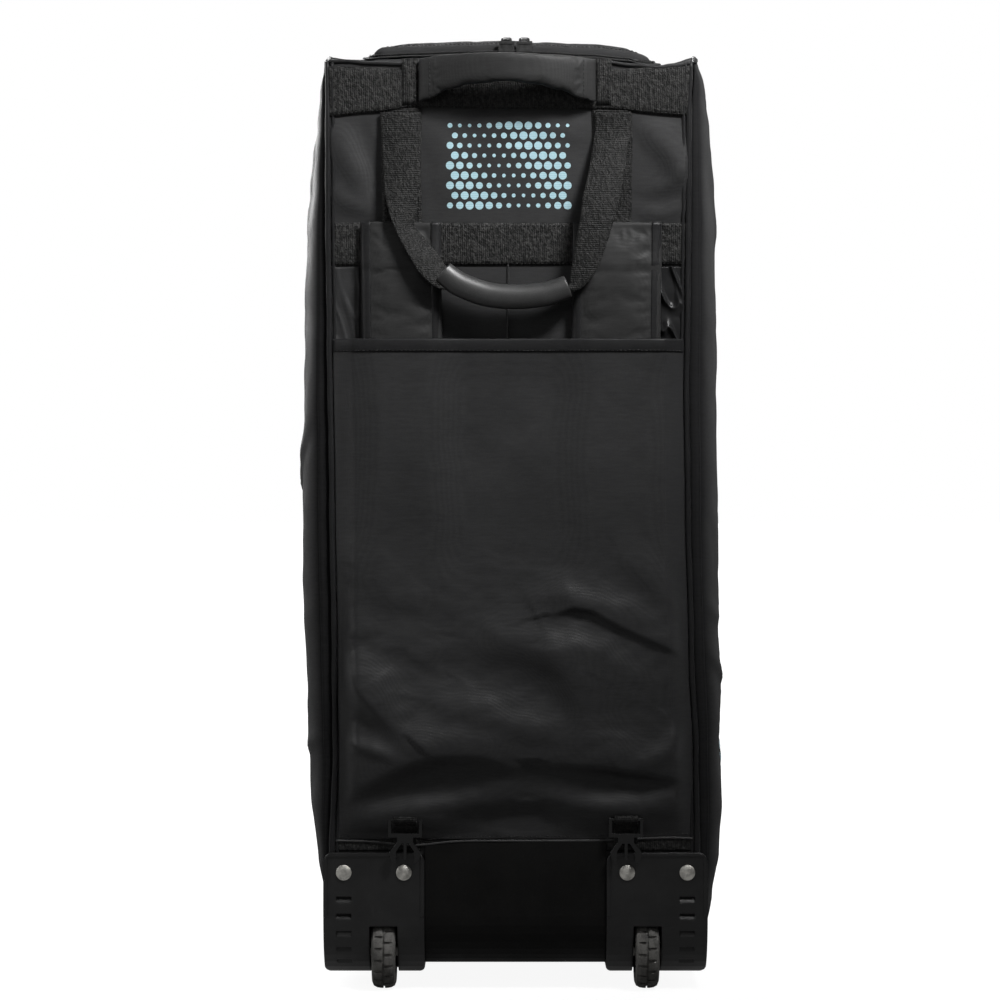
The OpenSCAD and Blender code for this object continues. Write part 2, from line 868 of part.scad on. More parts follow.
// A carry strap: each ring has its drop below the seam, its inner edge, its width and its depth
module carry_strap() {
    w = carry_w;
    x = carry_x - w / 2;
    deep = grip_y - carry_y;
    end_x = grip_span / 2;
    rings = [
        [seat, x, w, 0],
        [0.23 * carry_l, x + 1, w, 0.1 * deep],
        [0.45 * carry_l, x, w, 0.62 * deep],
        [0.62 * carry_l, x - 4, 0.95 * w, 0.9 * deep],
        [0.78 * carry_l, x - 12, 0.8 * w, deep],
        [0.92 * carry_l, end_x + 1, 0.55 * w, deep],
        [carry_l, end_x + 0.5, 0.4 * w, deep]];
    function corners(r) = [
        [r[1], carry_y + r[3] + carry_t / 2, carry_z - r[0]],
        [r[1] + r[2], carry_y + r[3] + carry_t / 2, carry_z - r[0]],
        [r[1] + r[2], carry_y + r[3] - carry_t / 2, carry_z - r[0]],
        [r[1], carry_y + r[3] - carry_t / 2, carry_z - r[0]]];
    last = 4 * (len(rings) - 1);
    color("#302e2a")
        polyhedron(
            [for (r = rings) each corners(r)],
            concat(
                [[3, 2, 1], [3, 1, 0]],
                [for (k = [0:len(rings) - 2], j = [0:3]) let (p = 4 * k, n = (j + 1) % 4) each
                    [[p + j, p + n, p + 4 + n], [p + j, p + 4 + n, p + 4 + j]]],
                [[last, last + 1, last + 2], [last, last + 2, last + 3]]));
}

module carry_grip() {
    color("#2a2a2a")
        translate([0, grip_y, grip_z - grip_sag + grip_arc])
            rotate([90, 0, 0])
                rotate([0, 0, 270 - grip_a])
                    rotate_extrude(angle = 2 * grip_a, $fn = 96)
                        translate([grip_arc, 0])
                            circle(grip_r);
}

// ---- lower buckles ----

module buckle_tab() {
    w = buckle_web_w;
    t = 1.6;
    ring = bar_r + seat;
    color("#302e2a")
        translate([buckle_x, 0, 0])
            union() {
                across(-w / 2, w / 2)
                    translate([bar_y, bar_z])
                        difference() {
                            circle(ring + t);
                            circle(ring);
                        }
                across(-w / 2, w / 2)
                    polygon([
                        [back_y - web_t, pocket_low_z - 2],
                        [back_y - web_t, pocket_low_z - 2 - t],
                        [bar_y + ring, pocket_low_z - 2 - t],
                        [bar_y + ring, bar_z],
                        [bar_y + ring + t, bar_z],
                        [bar_y + ring + t, pocket_low_z - 2]]);
            }
}

module buckle() {
    half = buckle_web_w / 2 + 2;
    frame_h = 18;
    body_h = 6;
    prong_h = 20;
    color("#131314")
        translate([buckle_x, bar_y, bar_z]) {
            rod(bar_r, 2 * half + 6);
            backwards(buckle_t / 2, buckle_t)
                difference() {
                    union() {
                        translate([-half - 3, -frame_h])
                            square([2 * half + 6, frame_h]);
                        translate([6 - half, -frame_h - body_h])
                            square([2 * half - 12, body_h + 1]);
                        for (s = [0, 1])
                            mirror([s, 0])
                                polygon([
                                    [3, -frame_h - body_h + 1],
                                    [half - 6, -frame_h - body_h + 1],
                                    [half - 1, -frame_h - body_h - 5],
                                    [half + 2, -frame_h - body_h - 9],
                                    [half, -frame_h - body_h - prong_h + 3],
                                    [half - 3, -frame_h - body_h - prong_h],
                                    [half - 5, -frame_h - body_h - prong_h + 1],
                                    [half - 5, -frame_h - body_h - 8],
                                    [5, -frame_h - body_h - 2]]);
                        translate([-1.5, -frame_h - body_h - prong_h + 4])
                            square([3, prong_h]);
                    }
                    translate([-half, -frame_h + 4])
                        square([2 * half, frame_h]);
                }
        }
}

module left() {
    mirror([1, 0, 0])
        children();
}

back_panel();
stiffener_board();
left() gusset();  // left_gusset
gusset();  // right_gusset
top_end();
front_panel();
left() cover_frame();  // left_cover_frame
cover_frame();  // right_cover_frame
left() anchor_webbing();  // left_anchor_webbing
anchor_webbing();  // right_anchor_webbing
floor_board();
left() piping();  // left_piping
piping();  // right_piping
top_band();
middle_band();
base_webbing();
stow_pocket();
pocket_hem();
pocket_lining();
left() shoulder_strap();  // left_shoulder_strap
shoulder_strap();  // right_shoulder_strap
left() strap_webbing();  // left_strap_webbing
strap_webbing();  // right_strap_webbing
left() receiver();  // left_receiver
receiver();  // right_receiver
skid_plate();
left() wheel_housing();  // left_wheel_housing
wheel_housing();  // right_wheel_housing
housing_rivets();
left() axle();  // left_axle
axle();  // right_axle
axle_nuts();
axle_spacers();
left() hub();  // left_hub
hub();  // right_hub
left() tyre();  // left_tyre
tyre();  // right_tyre
left() bearings();  // left_bearings
bearings();  // right_bearings
left() foot();  // left_foot
foot();  // right_foot
foot_screws();
cover();
hinge_tape();
zip_bag_tape();
zip_cover_tape();
left() slider();  // left_slider
slider();  // right_slider
left() pull();  // left_pull
pull();  // right_pull
grab_handle();
handle_tabs();
left() carry_strap();  // left_carry_strap
carry_strap();  // right_carry_strap
carry_grip();
left() buckle_tab();  // left_buckle_tab
buckle_tab();  // right_buckle_tab
left() buckle();  // left_buckle
buckle();  // right_buckle
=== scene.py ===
"""Looks of a wheeled hockey equipment bag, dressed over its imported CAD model.

Metres, and millimetres in the tables. X runs across the bag, Y from the back panel (negative) to the
cover, Z up from the floor.
"""
import math

import bpy
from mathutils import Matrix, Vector, noise


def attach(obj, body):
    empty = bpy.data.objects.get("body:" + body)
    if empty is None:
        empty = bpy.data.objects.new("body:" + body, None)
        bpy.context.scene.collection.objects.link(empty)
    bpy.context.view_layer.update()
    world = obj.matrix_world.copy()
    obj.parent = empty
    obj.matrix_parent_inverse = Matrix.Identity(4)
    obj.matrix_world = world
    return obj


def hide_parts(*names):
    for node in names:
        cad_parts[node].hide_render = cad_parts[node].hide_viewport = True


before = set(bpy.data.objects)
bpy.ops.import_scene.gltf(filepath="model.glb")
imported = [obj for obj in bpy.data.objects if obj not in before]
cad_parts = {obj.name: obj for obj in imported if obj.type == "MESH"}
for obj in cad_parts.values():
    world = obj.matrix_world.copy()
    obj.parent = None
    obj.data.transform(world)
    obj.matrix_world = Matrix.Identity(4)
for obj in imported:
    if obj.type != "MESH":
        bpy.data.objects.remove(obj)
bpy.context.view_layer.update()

# ---- sizes, as in the CAD model ----
BACK_Y = -0.1551
FRAME_Y = 0.1799
EDGE_X = 0.179
FRAME_X = 0.187
SHOULDER_Z = 0.935
DOME = 0.022
CORNER_R = 0.040
FLOOR_TOP = 0.030
HINGE_Z = 0.120
COVER_X = 0.141
COVER_REAR = BACK_Y + 0.030
COVER_RISE = 0.010
COVER_R = 0.012
MOUTH_X = 0.128
LAP = 0.013
TAPE_W = 0.008
PIPING_R = 0.003
HOUSING_TOP = 0.140
PANEL_LOW = 0.094
BEND_R = 0.050
MID_LOW = 0.726
WEB_W = 0.042
HANDLE_Y = -0.1590
HANDLE_BOW = 0.019
HANDLE_T = 0.010
GRIP_Y = -0.1794
GRIP_R = 0.0098
POCKET_LOW = 0.152
POCKET_TOP = 0.652
POCKET_DEEP = 0.0175
STRAP_TOP = 0.770
PAD_LOW = 0.400
BAR_Y = -0.1676
BAR_Z = 0.174
BUCKLE_X = 0.110
MID_Y = (BACK_Y + FRAME_Y) / 2
CORNER_Y = FRAME_Y - CORNER_R

# ---- sizes of the scene alone ----
SIDES = ((-1, "left"), (1, "right"))
SEAM_X = 0.183  # where the piping meets the top seam
GUSSET_REAR = BACK_Y + PIPING_R * 0.4
GUSSET_FRONT = FRAME_Y - 0.0015
GUSSET_TOP_LIFT = -0.0008  # the gussets end this much below the top end's cloth
HANDLE_MID = -0.0045
HANDLE_HALF = 0.0885
HANDLE_SEAMS = (0.0715, -0.0820)
BEND_Z = 0.076  # the middle of the bend at the foot of the side walls
SAG_RUN = 0.20  # the length over which the top end comes down to its sag
SEAM_RUN = 0.020  # the length over which it meets the panel's seam
SEWN_T = 0.0056  # the shoulder straps' thickness where they are sewn
LINING_Z = (POCKET_TOP - 0.040, MID_LOW - 0.001)
LEAN = -0.0035  # the soft bag stands this far to one side over its base
SIM_FRAMES = 20


def metres(table):
    """A table of millimetres, in metres."""
    if isinstance(table, (int, float)):
        return table / 1000
    return type(table)(metres(part) for part in table)


# Outlines of the piping and of the gussets, measured: (height, distance from the middle)
PIPE_LEFT = metres([(140, 180), (240, 176.5), (340, 177.5), (490, 180), (660, 182.5), (780, 184),
                    (860, 184), (930, 185)])
PIPE_RIGHT = metres([(140, 185), (240, 183.5), (340, 179), (490, 175.5), (600, 174), (700, 175.5),
                     (800, 176.5), (870, 177), (930, 179)])
REACH_LEFT = metres([(30, 186), (90, 191), (130, 200), (190, 207), (290, 210.5), (390, 214.5), (490, 216),
                     (590, 215.5), (690, 212.5), (760, 209.5), (810, 204.5), (842, 202.5), (872, 199),
                     (900, 196), (935, 188)])
REACH_RIGHT = metres([(30, 191), (90, 204), (130, 212), (190, 216.5), (240, 215), (290, 216.5),
                      (390, 212), (490, 212.5), (590, 212), (690, 212), (760, 210.5), (810, 208),
                      (842, 206.5), (872, 204.5), (900, 200.5), (935, 190)])
# The top seam of the back panel and the sag of the top end: (distance from the middle, height or sag)
TOP_SEAM = metres([(-187, 931.5), (-165, 931.8), (-145, 930), (-110, 929), (-60, 934), (-20, 936.5),
                   (30, 936), (80, 932.5), (125, 927.5), (147, 925.5), (165, 927), (187, 932)])
TOP_SAG = metres([(-187, -4), (-165, -6.5), (-145, -6), (-130, -4), (-100, -2.5), (-40, -0.8), (0, 0),
                  (30, -1.5), (80, -4), (115, -7), (135, -11.5), (150, -12.5), (165, -10), (187, -4)])


# ---- small maths ----

def mix(a, b, t):
    return a + (b - a) * t


def ease(t):
    t = min(1.0, max(0.0, t))
    return t * t * (3 - 2 * t)


def along(table, z):
    """The value at z of (z, value) pairs in rising order, eased from one to the next."""
    if z <= table[0][0]:
        return table[0][1]
    for (z0, v0), (z1, v1) in zip(table, table[1:]):
        if z <= z1:
            return mix(v0, v1, ease((z - z0) / (z1 - z0)))
    return table[-1][1]


def steps(a, b, n):
    """n + 1 even steps from a to b."""
    return [mix(a, b, k / n) for k in range(n + 1)]


def circle(n):
    """n even angles round a circle."""
    return [2 * math.pi * k / n for k in range(n)]


def squircle(a, p, q):
    """The point at angle a of a rounded square. Powers of 1 make it a circle, smaller ones squarer."""
    across, up = math.cos(a), math.sin(a)
    return math.copysign(abs(across) ** p, across), math.copysign(abs(up) ** q, up)


def bumpy(x, y, z, scale, seed=0.0):
    return noise.noise(Vector((x * scale + seed, y * scale - seed, z * scale + 2.3 * seed)))


def fold_lift(folds, x, z):
    """Sum of cloth folds at (x, z). Each fold is (points, height, width above, width below)."""
    total = 0.0
    here = Vector((x, z))
    for points, height, above, below in folds:
        best = None
        for k, (a, b) in enumerate(zip(points, points[1:])):
            a = Vector(a)
            run = Vector(b) - a
            t = min(1.0, max(0.0, (here - a).dot(run) / run.length_squared))
            off = here - a - run * t
            if best is None or off.length < best[0]:
                end = (k + t) / (len(points) - 1)
                best = (off.length, off.y * run.x - off.x * run.y, end)
        dist, side, end = best
        width = above if side * (1 if points[-1][0] > points[0][0] else -1) > 0 else below
        taper = math.sin(math.pi * min(1, max(0, 0.08 + 0.84 * end))) ** 0.7
        total += height * taper * math.exp(-(dist / width) ** 2)
    return total


# ---- the bag's own surfaces ----

def top_z(y):
    return SHOULDER_Z + DOME * (1 - ((y - MID_Y) / (FRAME_Y - MID_Y)) ** 2)


CORNER_Z = top_z(CORNER_Y) - CORNER_R
RISE_L = CORNER_Z - FLOOR_TOP
BEND_L = CORNER_R * math.pi / 2
WRAP_L = RISE_L + BEND_L + CORNER_Y - BACK_Y


def on_wrap(x, s, lift):
    """The point at length s up the front and back along the top end, raised by lift.

    The soft top end sags at its sides, and meets the panel's seam at the rear."""
    if s < RISE_L:
        return Vector((x, FRAME_Y + lift, FLOOR_TOP + s))
    if s < RISE_L + BEND_L:
        a = (s - RISE_L) / CORNER_R
        r = CORNER_R + lift
        return Vector((x, CORNER_Y + r * math.cos(a), CORNER_Z + r * math.sin(a)))
    y = CORNER_Y - (s - RISE_L - BEND_L)
    sag = along(TOP_SAG, x) * ease((s - RISE_L - BEND_L) / SAG_RUN)
    seam = ease((BACK_Y + SEAM_RUN - y) / SEAM_RUN)
    return Vector((x, y, mix(top_z(y) + sag, along(TOP_SEAM, x), seam) + lift))


COVER_S0 = HINGE_Z - FLOOR_TOP + 0.0003
COVER_S1 = RISE_L + BEND_L + CORNER_Y - COVER_REAR


def cover_half(s, grow=0.0):
    """Half the cover's width at s, with its rounded corners."""
    room = min(s - COVER_S0 + grow, COVER_S1 + grow - s)
    r = COVER_R + grow
    if room >= r:
        return COVER_X + grow
    return COVER_X + grow - r + math.sqrt(max(0.0, r * r - (r - max(0.0, room)) ** 2))


def side_x(side, z):
    """Where the piping lies, as a signed distance from the middle."""
    return side * along(PIPE_RIGHT if side > 0 else PIPE_LEFT, z)


PANEL_FOLDS = metres([
    ([(-182, 866), (-168, 832), (-146, 800)], 4.2, 18, 10),
    ([(-182, 802), (-162, 786), (-136, 778)], 3.4, 16, 7),
    ([(-150, 862), (-139, 826), (-136, 790)], -2, 10, 10),
    ([(132, 866), (158, 838), (180, 800)], 4, 22, 10),
    ([(136, 800), (160, 806), (176, 826)], 2.6, 12, 6),
    ([(128, 780), (150, 776), (176, 786)], 2.2, 10, 6),
    ([(-80, 862), (-60, 830), (-66, 790)], 1.6, 16, 16),
    ([(10, 870), (50, 862), (72, 850)], 1.4, 14, 10),
])


def panel_lift(x, z):
    """How far the back panel stands out towards the viewer."""
    folds = fold_lift(PANEL_FOLDS, x, z) if 0.74 < z < 0.9 else 0.0
    lift = 0.0009 * bumpy(x, 0.1, z, 13) + 0.0003 * bumpy(x, 0.4, z, 40) + folds * ease((0.884 - z) / 0.02)
    return max(-0.0008, lift)


def panel_point(x, z, out=0.0):
    return Vector((x, BACK_Y - panel_lift(x, z) - out, z))


POCKET_FOLDS = metres([
    ([(-167, 200), (-137, 216), (-102, 234), (-71, 241), (-32, 240), (3, 232)], 15, 34, 13),
    ([(-166, 172), (-112, 179), (-52, 186), (-2, 192)], 12, 15, 20),
    ([(40, 232), (88, 229), (128, 223), (170, 216)], 10.5, 30, 8),
    ([(30, 192), (78, 185), (128, 183), (178, 194)], 11, 14, 18),
    ([(-60, 176), (8, 172), (60, 176)], -7, 18, 12),
    ([(-170, 336), (-152, 304), (-134, 284), (-110, 263)], 12.5, 34, 11),
    ([(-36, 354), (18, 345), (63, 325)], 5.8, 30, 18),
    ([(34, 356), (63, 302), (90, 250)], 6, 32, 16),
    ([(40, 380), (60, 386), (80, 383), (108, 367), (174, 338)], 7, 26, 4),
    ([(50, 344), (88, 340), (130, 300)], 5, 18, 30),
    ([(24, 394), (50, 399), (78, 388)], 2, 14, 10),
    ([(-84, 292), (-32, 281), (28, 266), (80, 258)], 5.8, 22, 16),
    ([(-170, 252), (-140, 244), (-116, 234)], 4.2, 8, 6),
    ([(136, 232), (160, 246), (176, 264)], 5, 12, 10),
    ([(-136, 352), (-104, 346), (-74, 326)], 3.4, 22, 10),
    ([(-150, 420), (-110, 396), (-80, 384)], 2.4, 26, 14),
    ([(110, 440), (145, 404), (168, 386)], 2.6, 22, 12),
])


def pocket_lift(x, z):
    """How far the stow pocket's cloth stands out from the back panel."""
    low = side_x(-1, z) + PIPING_R
    high = side_x(1, z) - PIPING_R
    edge = min(x - low, high - x)
    side = ease(0.12 + edge / 0.026) ** 0.8
    foot = ease((z - POCKET_LOW) / 0.110)
    body = POCKET_DEEP * (0.35 * foot ** 0.5 + 0.65 * foot)
    wrinkle = fold_lift(POCKET_FOLDS, x, z) * ease((z - POCKET_LOW) / 0.016) if z < 0.48 else 0.0
    calm = 1 - 0.75 * ease((z - 0.34) / 0.14)
    soft = 0.0012 * bumpy(x, 0.0, z, 9, 3.1) + calm * (0.0016 * bumpy(x, 0.0, z * 1.4, 26, 1.7)
                                                       + 0.0006 * bumpy(x, 0.0, z * 1.3, 60, 6.2))
    pads = 0.0
    for mid, half in ((-0.108, 0.036), (0.108, 0.040)):
        pads += ease(1.45 - abs(x - mid) / half * 0.8)
    hang = 0.0060 * (pads - 1.0) * ease((z - 0.36) / 0.12) * (1 - 0.45 * ease((z - 0.60) / 0.05))
    return 0.0008 + max(0.0, body * side + (wrinkle + soft + hang) * ease(edge / 0.018))


def pocket_point(x, z, out=0.0):
    return Vector((x, BACK_Y - pocket_lift(x, z) - out, z))


# ---- mesh helpers ----


def make_piece(name, verts, faces, body, material, nodes=(), flat=False, turn=False, lean=LEAN):
    """A mesh object that rides on a body and may stand for CAD nodes."""
    verts = [Vector((v[0] + lean, v[1], v[2])) for v in verts]
    mesh = bpy.data.meshes.new(name)
    if turn:
        faces = [tuple(reversed(f)) for f in faces]
    mesh.from_pydata([tuple(v) for v in verts], [], faces)
    mesh.update()
    mesh.materials.append(material)
    for face in mesh.polygons:
        face.use_smooth = not flat
    piece = bpy.data.objects.new(name, mesh)
    bpy.context.scene.collection.objects.link(piece)
    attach(piece, body)
    if nodes:
        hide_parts(*nodes)
    return piece


def grid_faces(rows, cols, ring=False):
    faces = []
    for i in range(rows - 1):
        for j in range(cols if ring else cols - 1):
            k = (j + 1) % cols
            faces.append((i * cols + j, i * cols + k, (i + 1) * cols + k, (i + 1) * cols + j))
    return faces


def thicken(piece, thickness, offset=-1.0):
    solid = piece.modifiers.new("thickness", "SOLIDIFY")
    solid.thickness = thickness
    solid.offset = offset
    solid.use_even_offset = False


def subdivide(piece, levels=1):
    sub = piece.modifiers.new("smooth", "SUBSURF")
    sub.levels = levels
    sub.render_levels = levels


def sheet_piece(name, point, rows, cols, thickness, body, material, nodes=(), turn=False):
    """A thin sheet: point(u, v) gives its outer face, u across the columns and v up the rows."""
    verts = [point(j / (cols - 1), i / (rows - 1)) for i in range(rows) for j in range(cols)]
    piece = make_piece(name, verts, grid_faces(rows, cols), body, material, nodes, turn=turn)
    if thickness:
        thicken(piece, thickness)
    return piece


def ring_piece(name, rings, body, material, nodes=(), caps=True, turn=False, lean=LEAN):
    """A closed tube through rings of points."""
    cols = len(rings[0])
    verts = [p for ring in rings for p in ring]
    faces = grid_faces(len(rings), cols, ring=True)
    if caps:
        faces.append(tuple(reversed(range(cols))))
        faces.append(tuple(range((len(rings) - 1) * cols, len(rings) * cols)))
    return make_piece(name, verts, faces, body, material, nodes, turn=turn, lean=lean)


def tube_rings(points, radius, sides=10, squash=1.0):
    """Rings of a round cord along points. radius is a number or a function of 0 to 1."""
    rings = []
    count = len(points)
    side = None
    for k, p in enumerate(points):
        ahead = (points[min(k + 1, count - 1)] - points[max(k - 1, 0)]).normalized()
        if side is None:
            side = ahead.cross(Vector((0, 0, 1)) if abs(ahead.z) < 0.9 else Vector((0, 1, 0)))
        side = (side - ahead * side.dot(ahead)).normalized()
        up = ahead.cross(side)
        r = radius(k / (count - 1)) if callable(radius) else radius
        rings.append([p + side * (r * math.cos(a)) + up * (r * squash * math.sin(a))
                      for a in circle(sides)])
    return rings


def resample(points, pitch):
    """Evenly spaced (point, direction) pairs along a polyline."""
    out = []
    left = pitch / 2
    for a, b in zip(points, points[1:]):
        run = b - a
        length = run.length
        at = left
        while at < length:
            out.append((a + run * (at / length), run.normalized()))
            at += pitch
        left = at - length
    return out


def stitch_piece(name, rows, body, outward, pitch=0.0042, length=0.0029, radius=0.00034):
    """Rows of sewn stitches. Each row is a list of points that lie on the cloth."""
    verts, faces = [], []
    for row in rows:
        for p, d in resample(row, pitch):
            out = outward(p) if callable(outward) else Vector(outward)
            across = d.cross(out).normalized()
            base = len(verts)
            for t, r in ((-0.5, 0.25), (-0.28, 0.9), (0.28, 0.9), (0.5, 0.25)):
                sink = radius * (0.25 if abs(t) < 0.4 else -0.5)
                for a in (0, 72, 144, 216, 288):
                    a = math.radians(a)
                    verts.append(p + d * (length * t) + across * (radius * 1.3 * r * math.cos(a))
                                 + out * (sink + radius * r * math.sin(a)))
            faces += [tuple(base + n for n in f) for f in grid_faces(4, 5, ring=True)]
            faces.append((base + 4, base + 3, base + 2, base + 1, base))
            faces.append((base + 15, base + 16, base + 17, base + 18, base + 19))
    return make_piece(name, verts, faces, body, MAT["thread"])


def smooth_path(points, steps):
    """Catmull-Rom curve through vectors."""
    out = []
    n = len(points)
    for k in range(n - 1):
        p0 = points[max(k - 1, 0)]
        p1, p2 = points[k], points[k + 1]
        p3 = points[min(k + 2, n - 1)]
        for s in range(steps):
            t = s / steps
            out.append(0.5 * (2 * p1 + (p2 - p0) * t + (2 * p0 - 5 * p1 + 4 * p2 - p3) * t * t
                              + (3 * p1 - p0 - 3 * p2 + p3) * t ** 3))
    out.append(points[-1].copy())
    return out


def swell(piece, held, most, pressure=4.0, voxel=0.0045, shrink=-0.02):
    """Puffs a padded piece up in a short cloth simulation.

    Points for which held(co) is true stay, and no other point moves further than most. A closed pad is
    remeshed to cubes of size voxel first, and an open sheet, with voxel 0, keeps its own grid."""
    if voxel:
        remesh = piece.modifiers.new("remesh", "REMESH")
        remesh.mode = "VOXEL"
        remesh.voxel_size = voxel
        graph = bpy.context.evaluated_depsgraph_get()
        piece.data = bpy.data.meshes.new_from_object(piece.evaluated_get(graph))
        piece.modifiers.clear()
    mesh = piece.data
    start = [v.co.copy() for v in mesh.vertices]
    group = piece.vertex_groups.new(name="held")
    group.add([k for k, co in enumerate(start) if held(co)], 1.0, "REPLACE")
    cloth_mod = piece.modifiers.new("cloth", "CLOTH")
    rules = cloth_mod.settings
    rules.quality = 5
    rules.mass = 0.25
    rules.use_pressure = True
    rules.uniform_pressure_force = pressure
    rules.shrink_min = shrink
    rules.vertex_group_mass = "held"
    rules.effector_weights.gravity = 0.0
    cloth_mod.collision_settings.use_collision = False
    cloth_mod.point_cache.frame_start = 1
    cloth_mod.point_cache.frame_end = SIM_FRAMES
    for number in range(1, SIM_FRAMES + 1):
        bpy.context.scene.frame_set(number)
    puffed = piece.evaluated_get(bpy.context.evaluated_depsgraph_get()).data
    ends = [v.co.copy() for v in puffed.vertices]
    piece.modifiers.clear()
    bpy.context.scene.frame_set(1)
    for vert, co, end in zip(mesh.vertices, start, ends):
        move = end - co
        if move.length:
            move = move * (most * math.tanh(move.length / most) / move.length)
        vert.co = co + move
    for face in mesh.polygons:
        face.use_smooth = True
    if voxel:
        subdivide(piece)


# ---- materials ----

def new_material(name):
    """A material for a slot: its node tree, its shader and its object coordinates."""
    material = bpy.data.materials.new(name)
    material.use_nodes = True
    tree = material.node_tree
    place = add(tree, "ShaderNodeTexCoord").outputs["Object"]
    return material, tree, tree.nodes["Principled BSDF"], place


def add(tree, kind, sockets=None, **props):
    node = tree.nodes.new(kind)
    for key, value in props.items():
        setattr(node, key, value)
    feed(tree, node, sockets or {})
    return node


def feed(tree, node, sockets):
    """Links or sets a node's inputs."""
    for key, value in sockets.items():
        if isinstance(value, bpy.types.NodeSocket):
            tree.links.new(value, node.inputs[key])
        else:
            node.inputs[key].default_value = value


def math_node(tree, operation, a, b=0.0):
    return add(tree, "ShaderNodeMath", {0: a, 1: b}, operation=operation).outputs[0]


def weigh(tree, *parts):
    """The sum of (value, weight) pairs."""
    total = None
    for value, weight in parts:
        part = value if weight == 1 else math_node(tree, "MULTIPLY", value, weight)
        total = part if total is None else math_node(tree, "ADD", total, part)
    return total


def remap(tree, value, low, high, to_low=0.0, to_high=1.0):
    return add(tree, "ShaderNodeMapRange", {"Value": value, "From Min": low, "From Max": high,
                                            "To Min": to_low, "To Max": to_high}).outputs[0]


def ramp(tree, factor, dark, light, low=0.0, high=1.0):
    blend = add(tree, "ShaderNodeMix", {"Factor": remap(tree, factor, low, high)}, data_type="RGBA")
    blend.inputs[6].default_value = (*dark, 1)
    blend.inputs[7].default_value = (*light, 1)
    return blend.outputs[2]


def waves(tree, place, axis, period, bend=0.0):
    """A row of ribs along an axis, with that period in metres."""
    scale = math.pi / (10 * period)
    return add(tree, "ShaderNodeTexWave", {"Vector": place, "Scale": scale, "Distortion": bend,
                                           "Detail": 1.0, "Detail Scale": 0.6},
               wave_type="BANDS", bands_direction=axis).outputs["Fac"]


def grain(tree, place, scale, detail=4.0, rough=0.55):
    return add(tree, "ShaderNodeTexNoise", {"Vector": place, "Scale": scale, "Detail": detail,
                                            "Roughness": rough}).outputs["Fac"]


def drawn_out(tree, place, scale, turned=(0, 0, 0)):
    """Object coordinates that stretch a grain along an axis."""
    return add(tree, "ShaderNodeMapping", {"Vector": place, "Scale": scale, "Rotation": turned}).outputs[0]


def finish_bump(tree, shader, height, distance, strength=1.0, soft_edge=0.0):
    bump = add(tree, "ShaderNodeBump", {"Height": height, "Distance": distance, "Strength": strength})
    if soft_edge:
        edge = add(tree, "ShaderNodeBevel", {"Radius": soft_edge}, samples=4)
        tree.links.new(edge.outputs[0], bump.inputs["Normal"])
    tree.links.new(bump.outputs[0], shader.inputs["Normal"])


def cloth(name, dark, light, rough=0.50, gloss=0.22, sheen=0.05, rib=0.0012, rib_strength=0.3,
          crumple=0.0):
    """Coated nylon: a tight plain weave with faint slubs along the weft and a slightly uneven coat."""
    material, tree, shader, place = new_material(name)
    weft = waves(tree, place, "Z", rib, 1.4)
    warp = waves(tree, place, "X", rib * 0.8, 1.1)
    deep = waves(tree, place, "Y", rib * 0.8, 1.1)
    slub = grain(tree, drawn_out(tree, place, (0.16, 0.16, 1.0)), 520, 3)
    cloud = grain(tree, place, 6, 4)
    fuzz = grain(tree, place, 1100, 3, 0.7)
    threads = math_node(tree, "MULTIPLY", weigh(tree, (weft, 1), (warp, 1), (deep, 1)), 0.33)
    tone = weigh(tree, (slub, 0.30), (cloud, 0.35), (fuzz, 0.35), (threads, 0.16))
    feed(tree, shader, {
        "Base Color": ramp(tree, tone, dark, light, 0.38, 0.78),
        "Roughness": remap(tree, cloud, 0.3, 0.7, rough - 0.05, rough + 0.07),
        "Specular IOR Level": gloss, "Sheen Weight": sheen, "Sheen Roughness": 0.42,
        "Sheen Tint": (0.75, 0.76, 0.8, 1)})
    height = weigh(tree, (threads, 1), (slub, 0.4), (fuzz, 0.5))
    if crumple:
        height = weigh(tree, (height, 1), (grain(tree, place, 38, 3), crumple))
    finish_bump(tree, shader, height, 0.00035, rib_strength)
    return material


def webbing(name, axis, dark, light):
    """Woven nylon webbing: fine ribs across it, broken by a small irregular raised weave, and small lighter
    flecks in its colour that are painted glints.
    """
    material, tree, shader, place = new_material(name)
    ribs = waves(tree, place, axis, 0.0019, 1.8)
    cross = waves(tree, place, "Z" if axis == "X" else "X", 0.0013, 0.8)
    knots = grain(tree, drawn_out(tree, place, (1.0, 1.0, 0.55)), 300, 2, 0.6)
    loops = grain(tree, place, 520, 2, 0.6)
    patch = grain(tree, place, 70, 2)
    raised = remap(tree, knots, 0.40, 0.62)
    # Painted glints: small lighter flecks added to the base colour as highlights on the weave; the same
    # flecks also raise the bump.
    painted_glint = remap(tree, loops, 0.42, 0.70)
    weave = weigh(tree, (ribs, 0.45), (cross, 0.20))
    tone = weigh(tree, (weave, 0.30), (raised, 0.32), (painted_glint, 0.30), (patch, 0.22))
    feed(tree, shader, {"Base Color": ramp(tree, tone, dark, light, 0.25, 0.95), "Roughness": 0.55,
                        "Specular IOR Level": 0.25, "Sheen Weight": 0.05, "Sheen Roughness": 0.45})
    height = weigh(tree, (weave, 0.7), (raised, 0.7), (painted_glint, 0.35))
    finish_bump(tree, shader, height, 0.0007, 0.9)
    return material


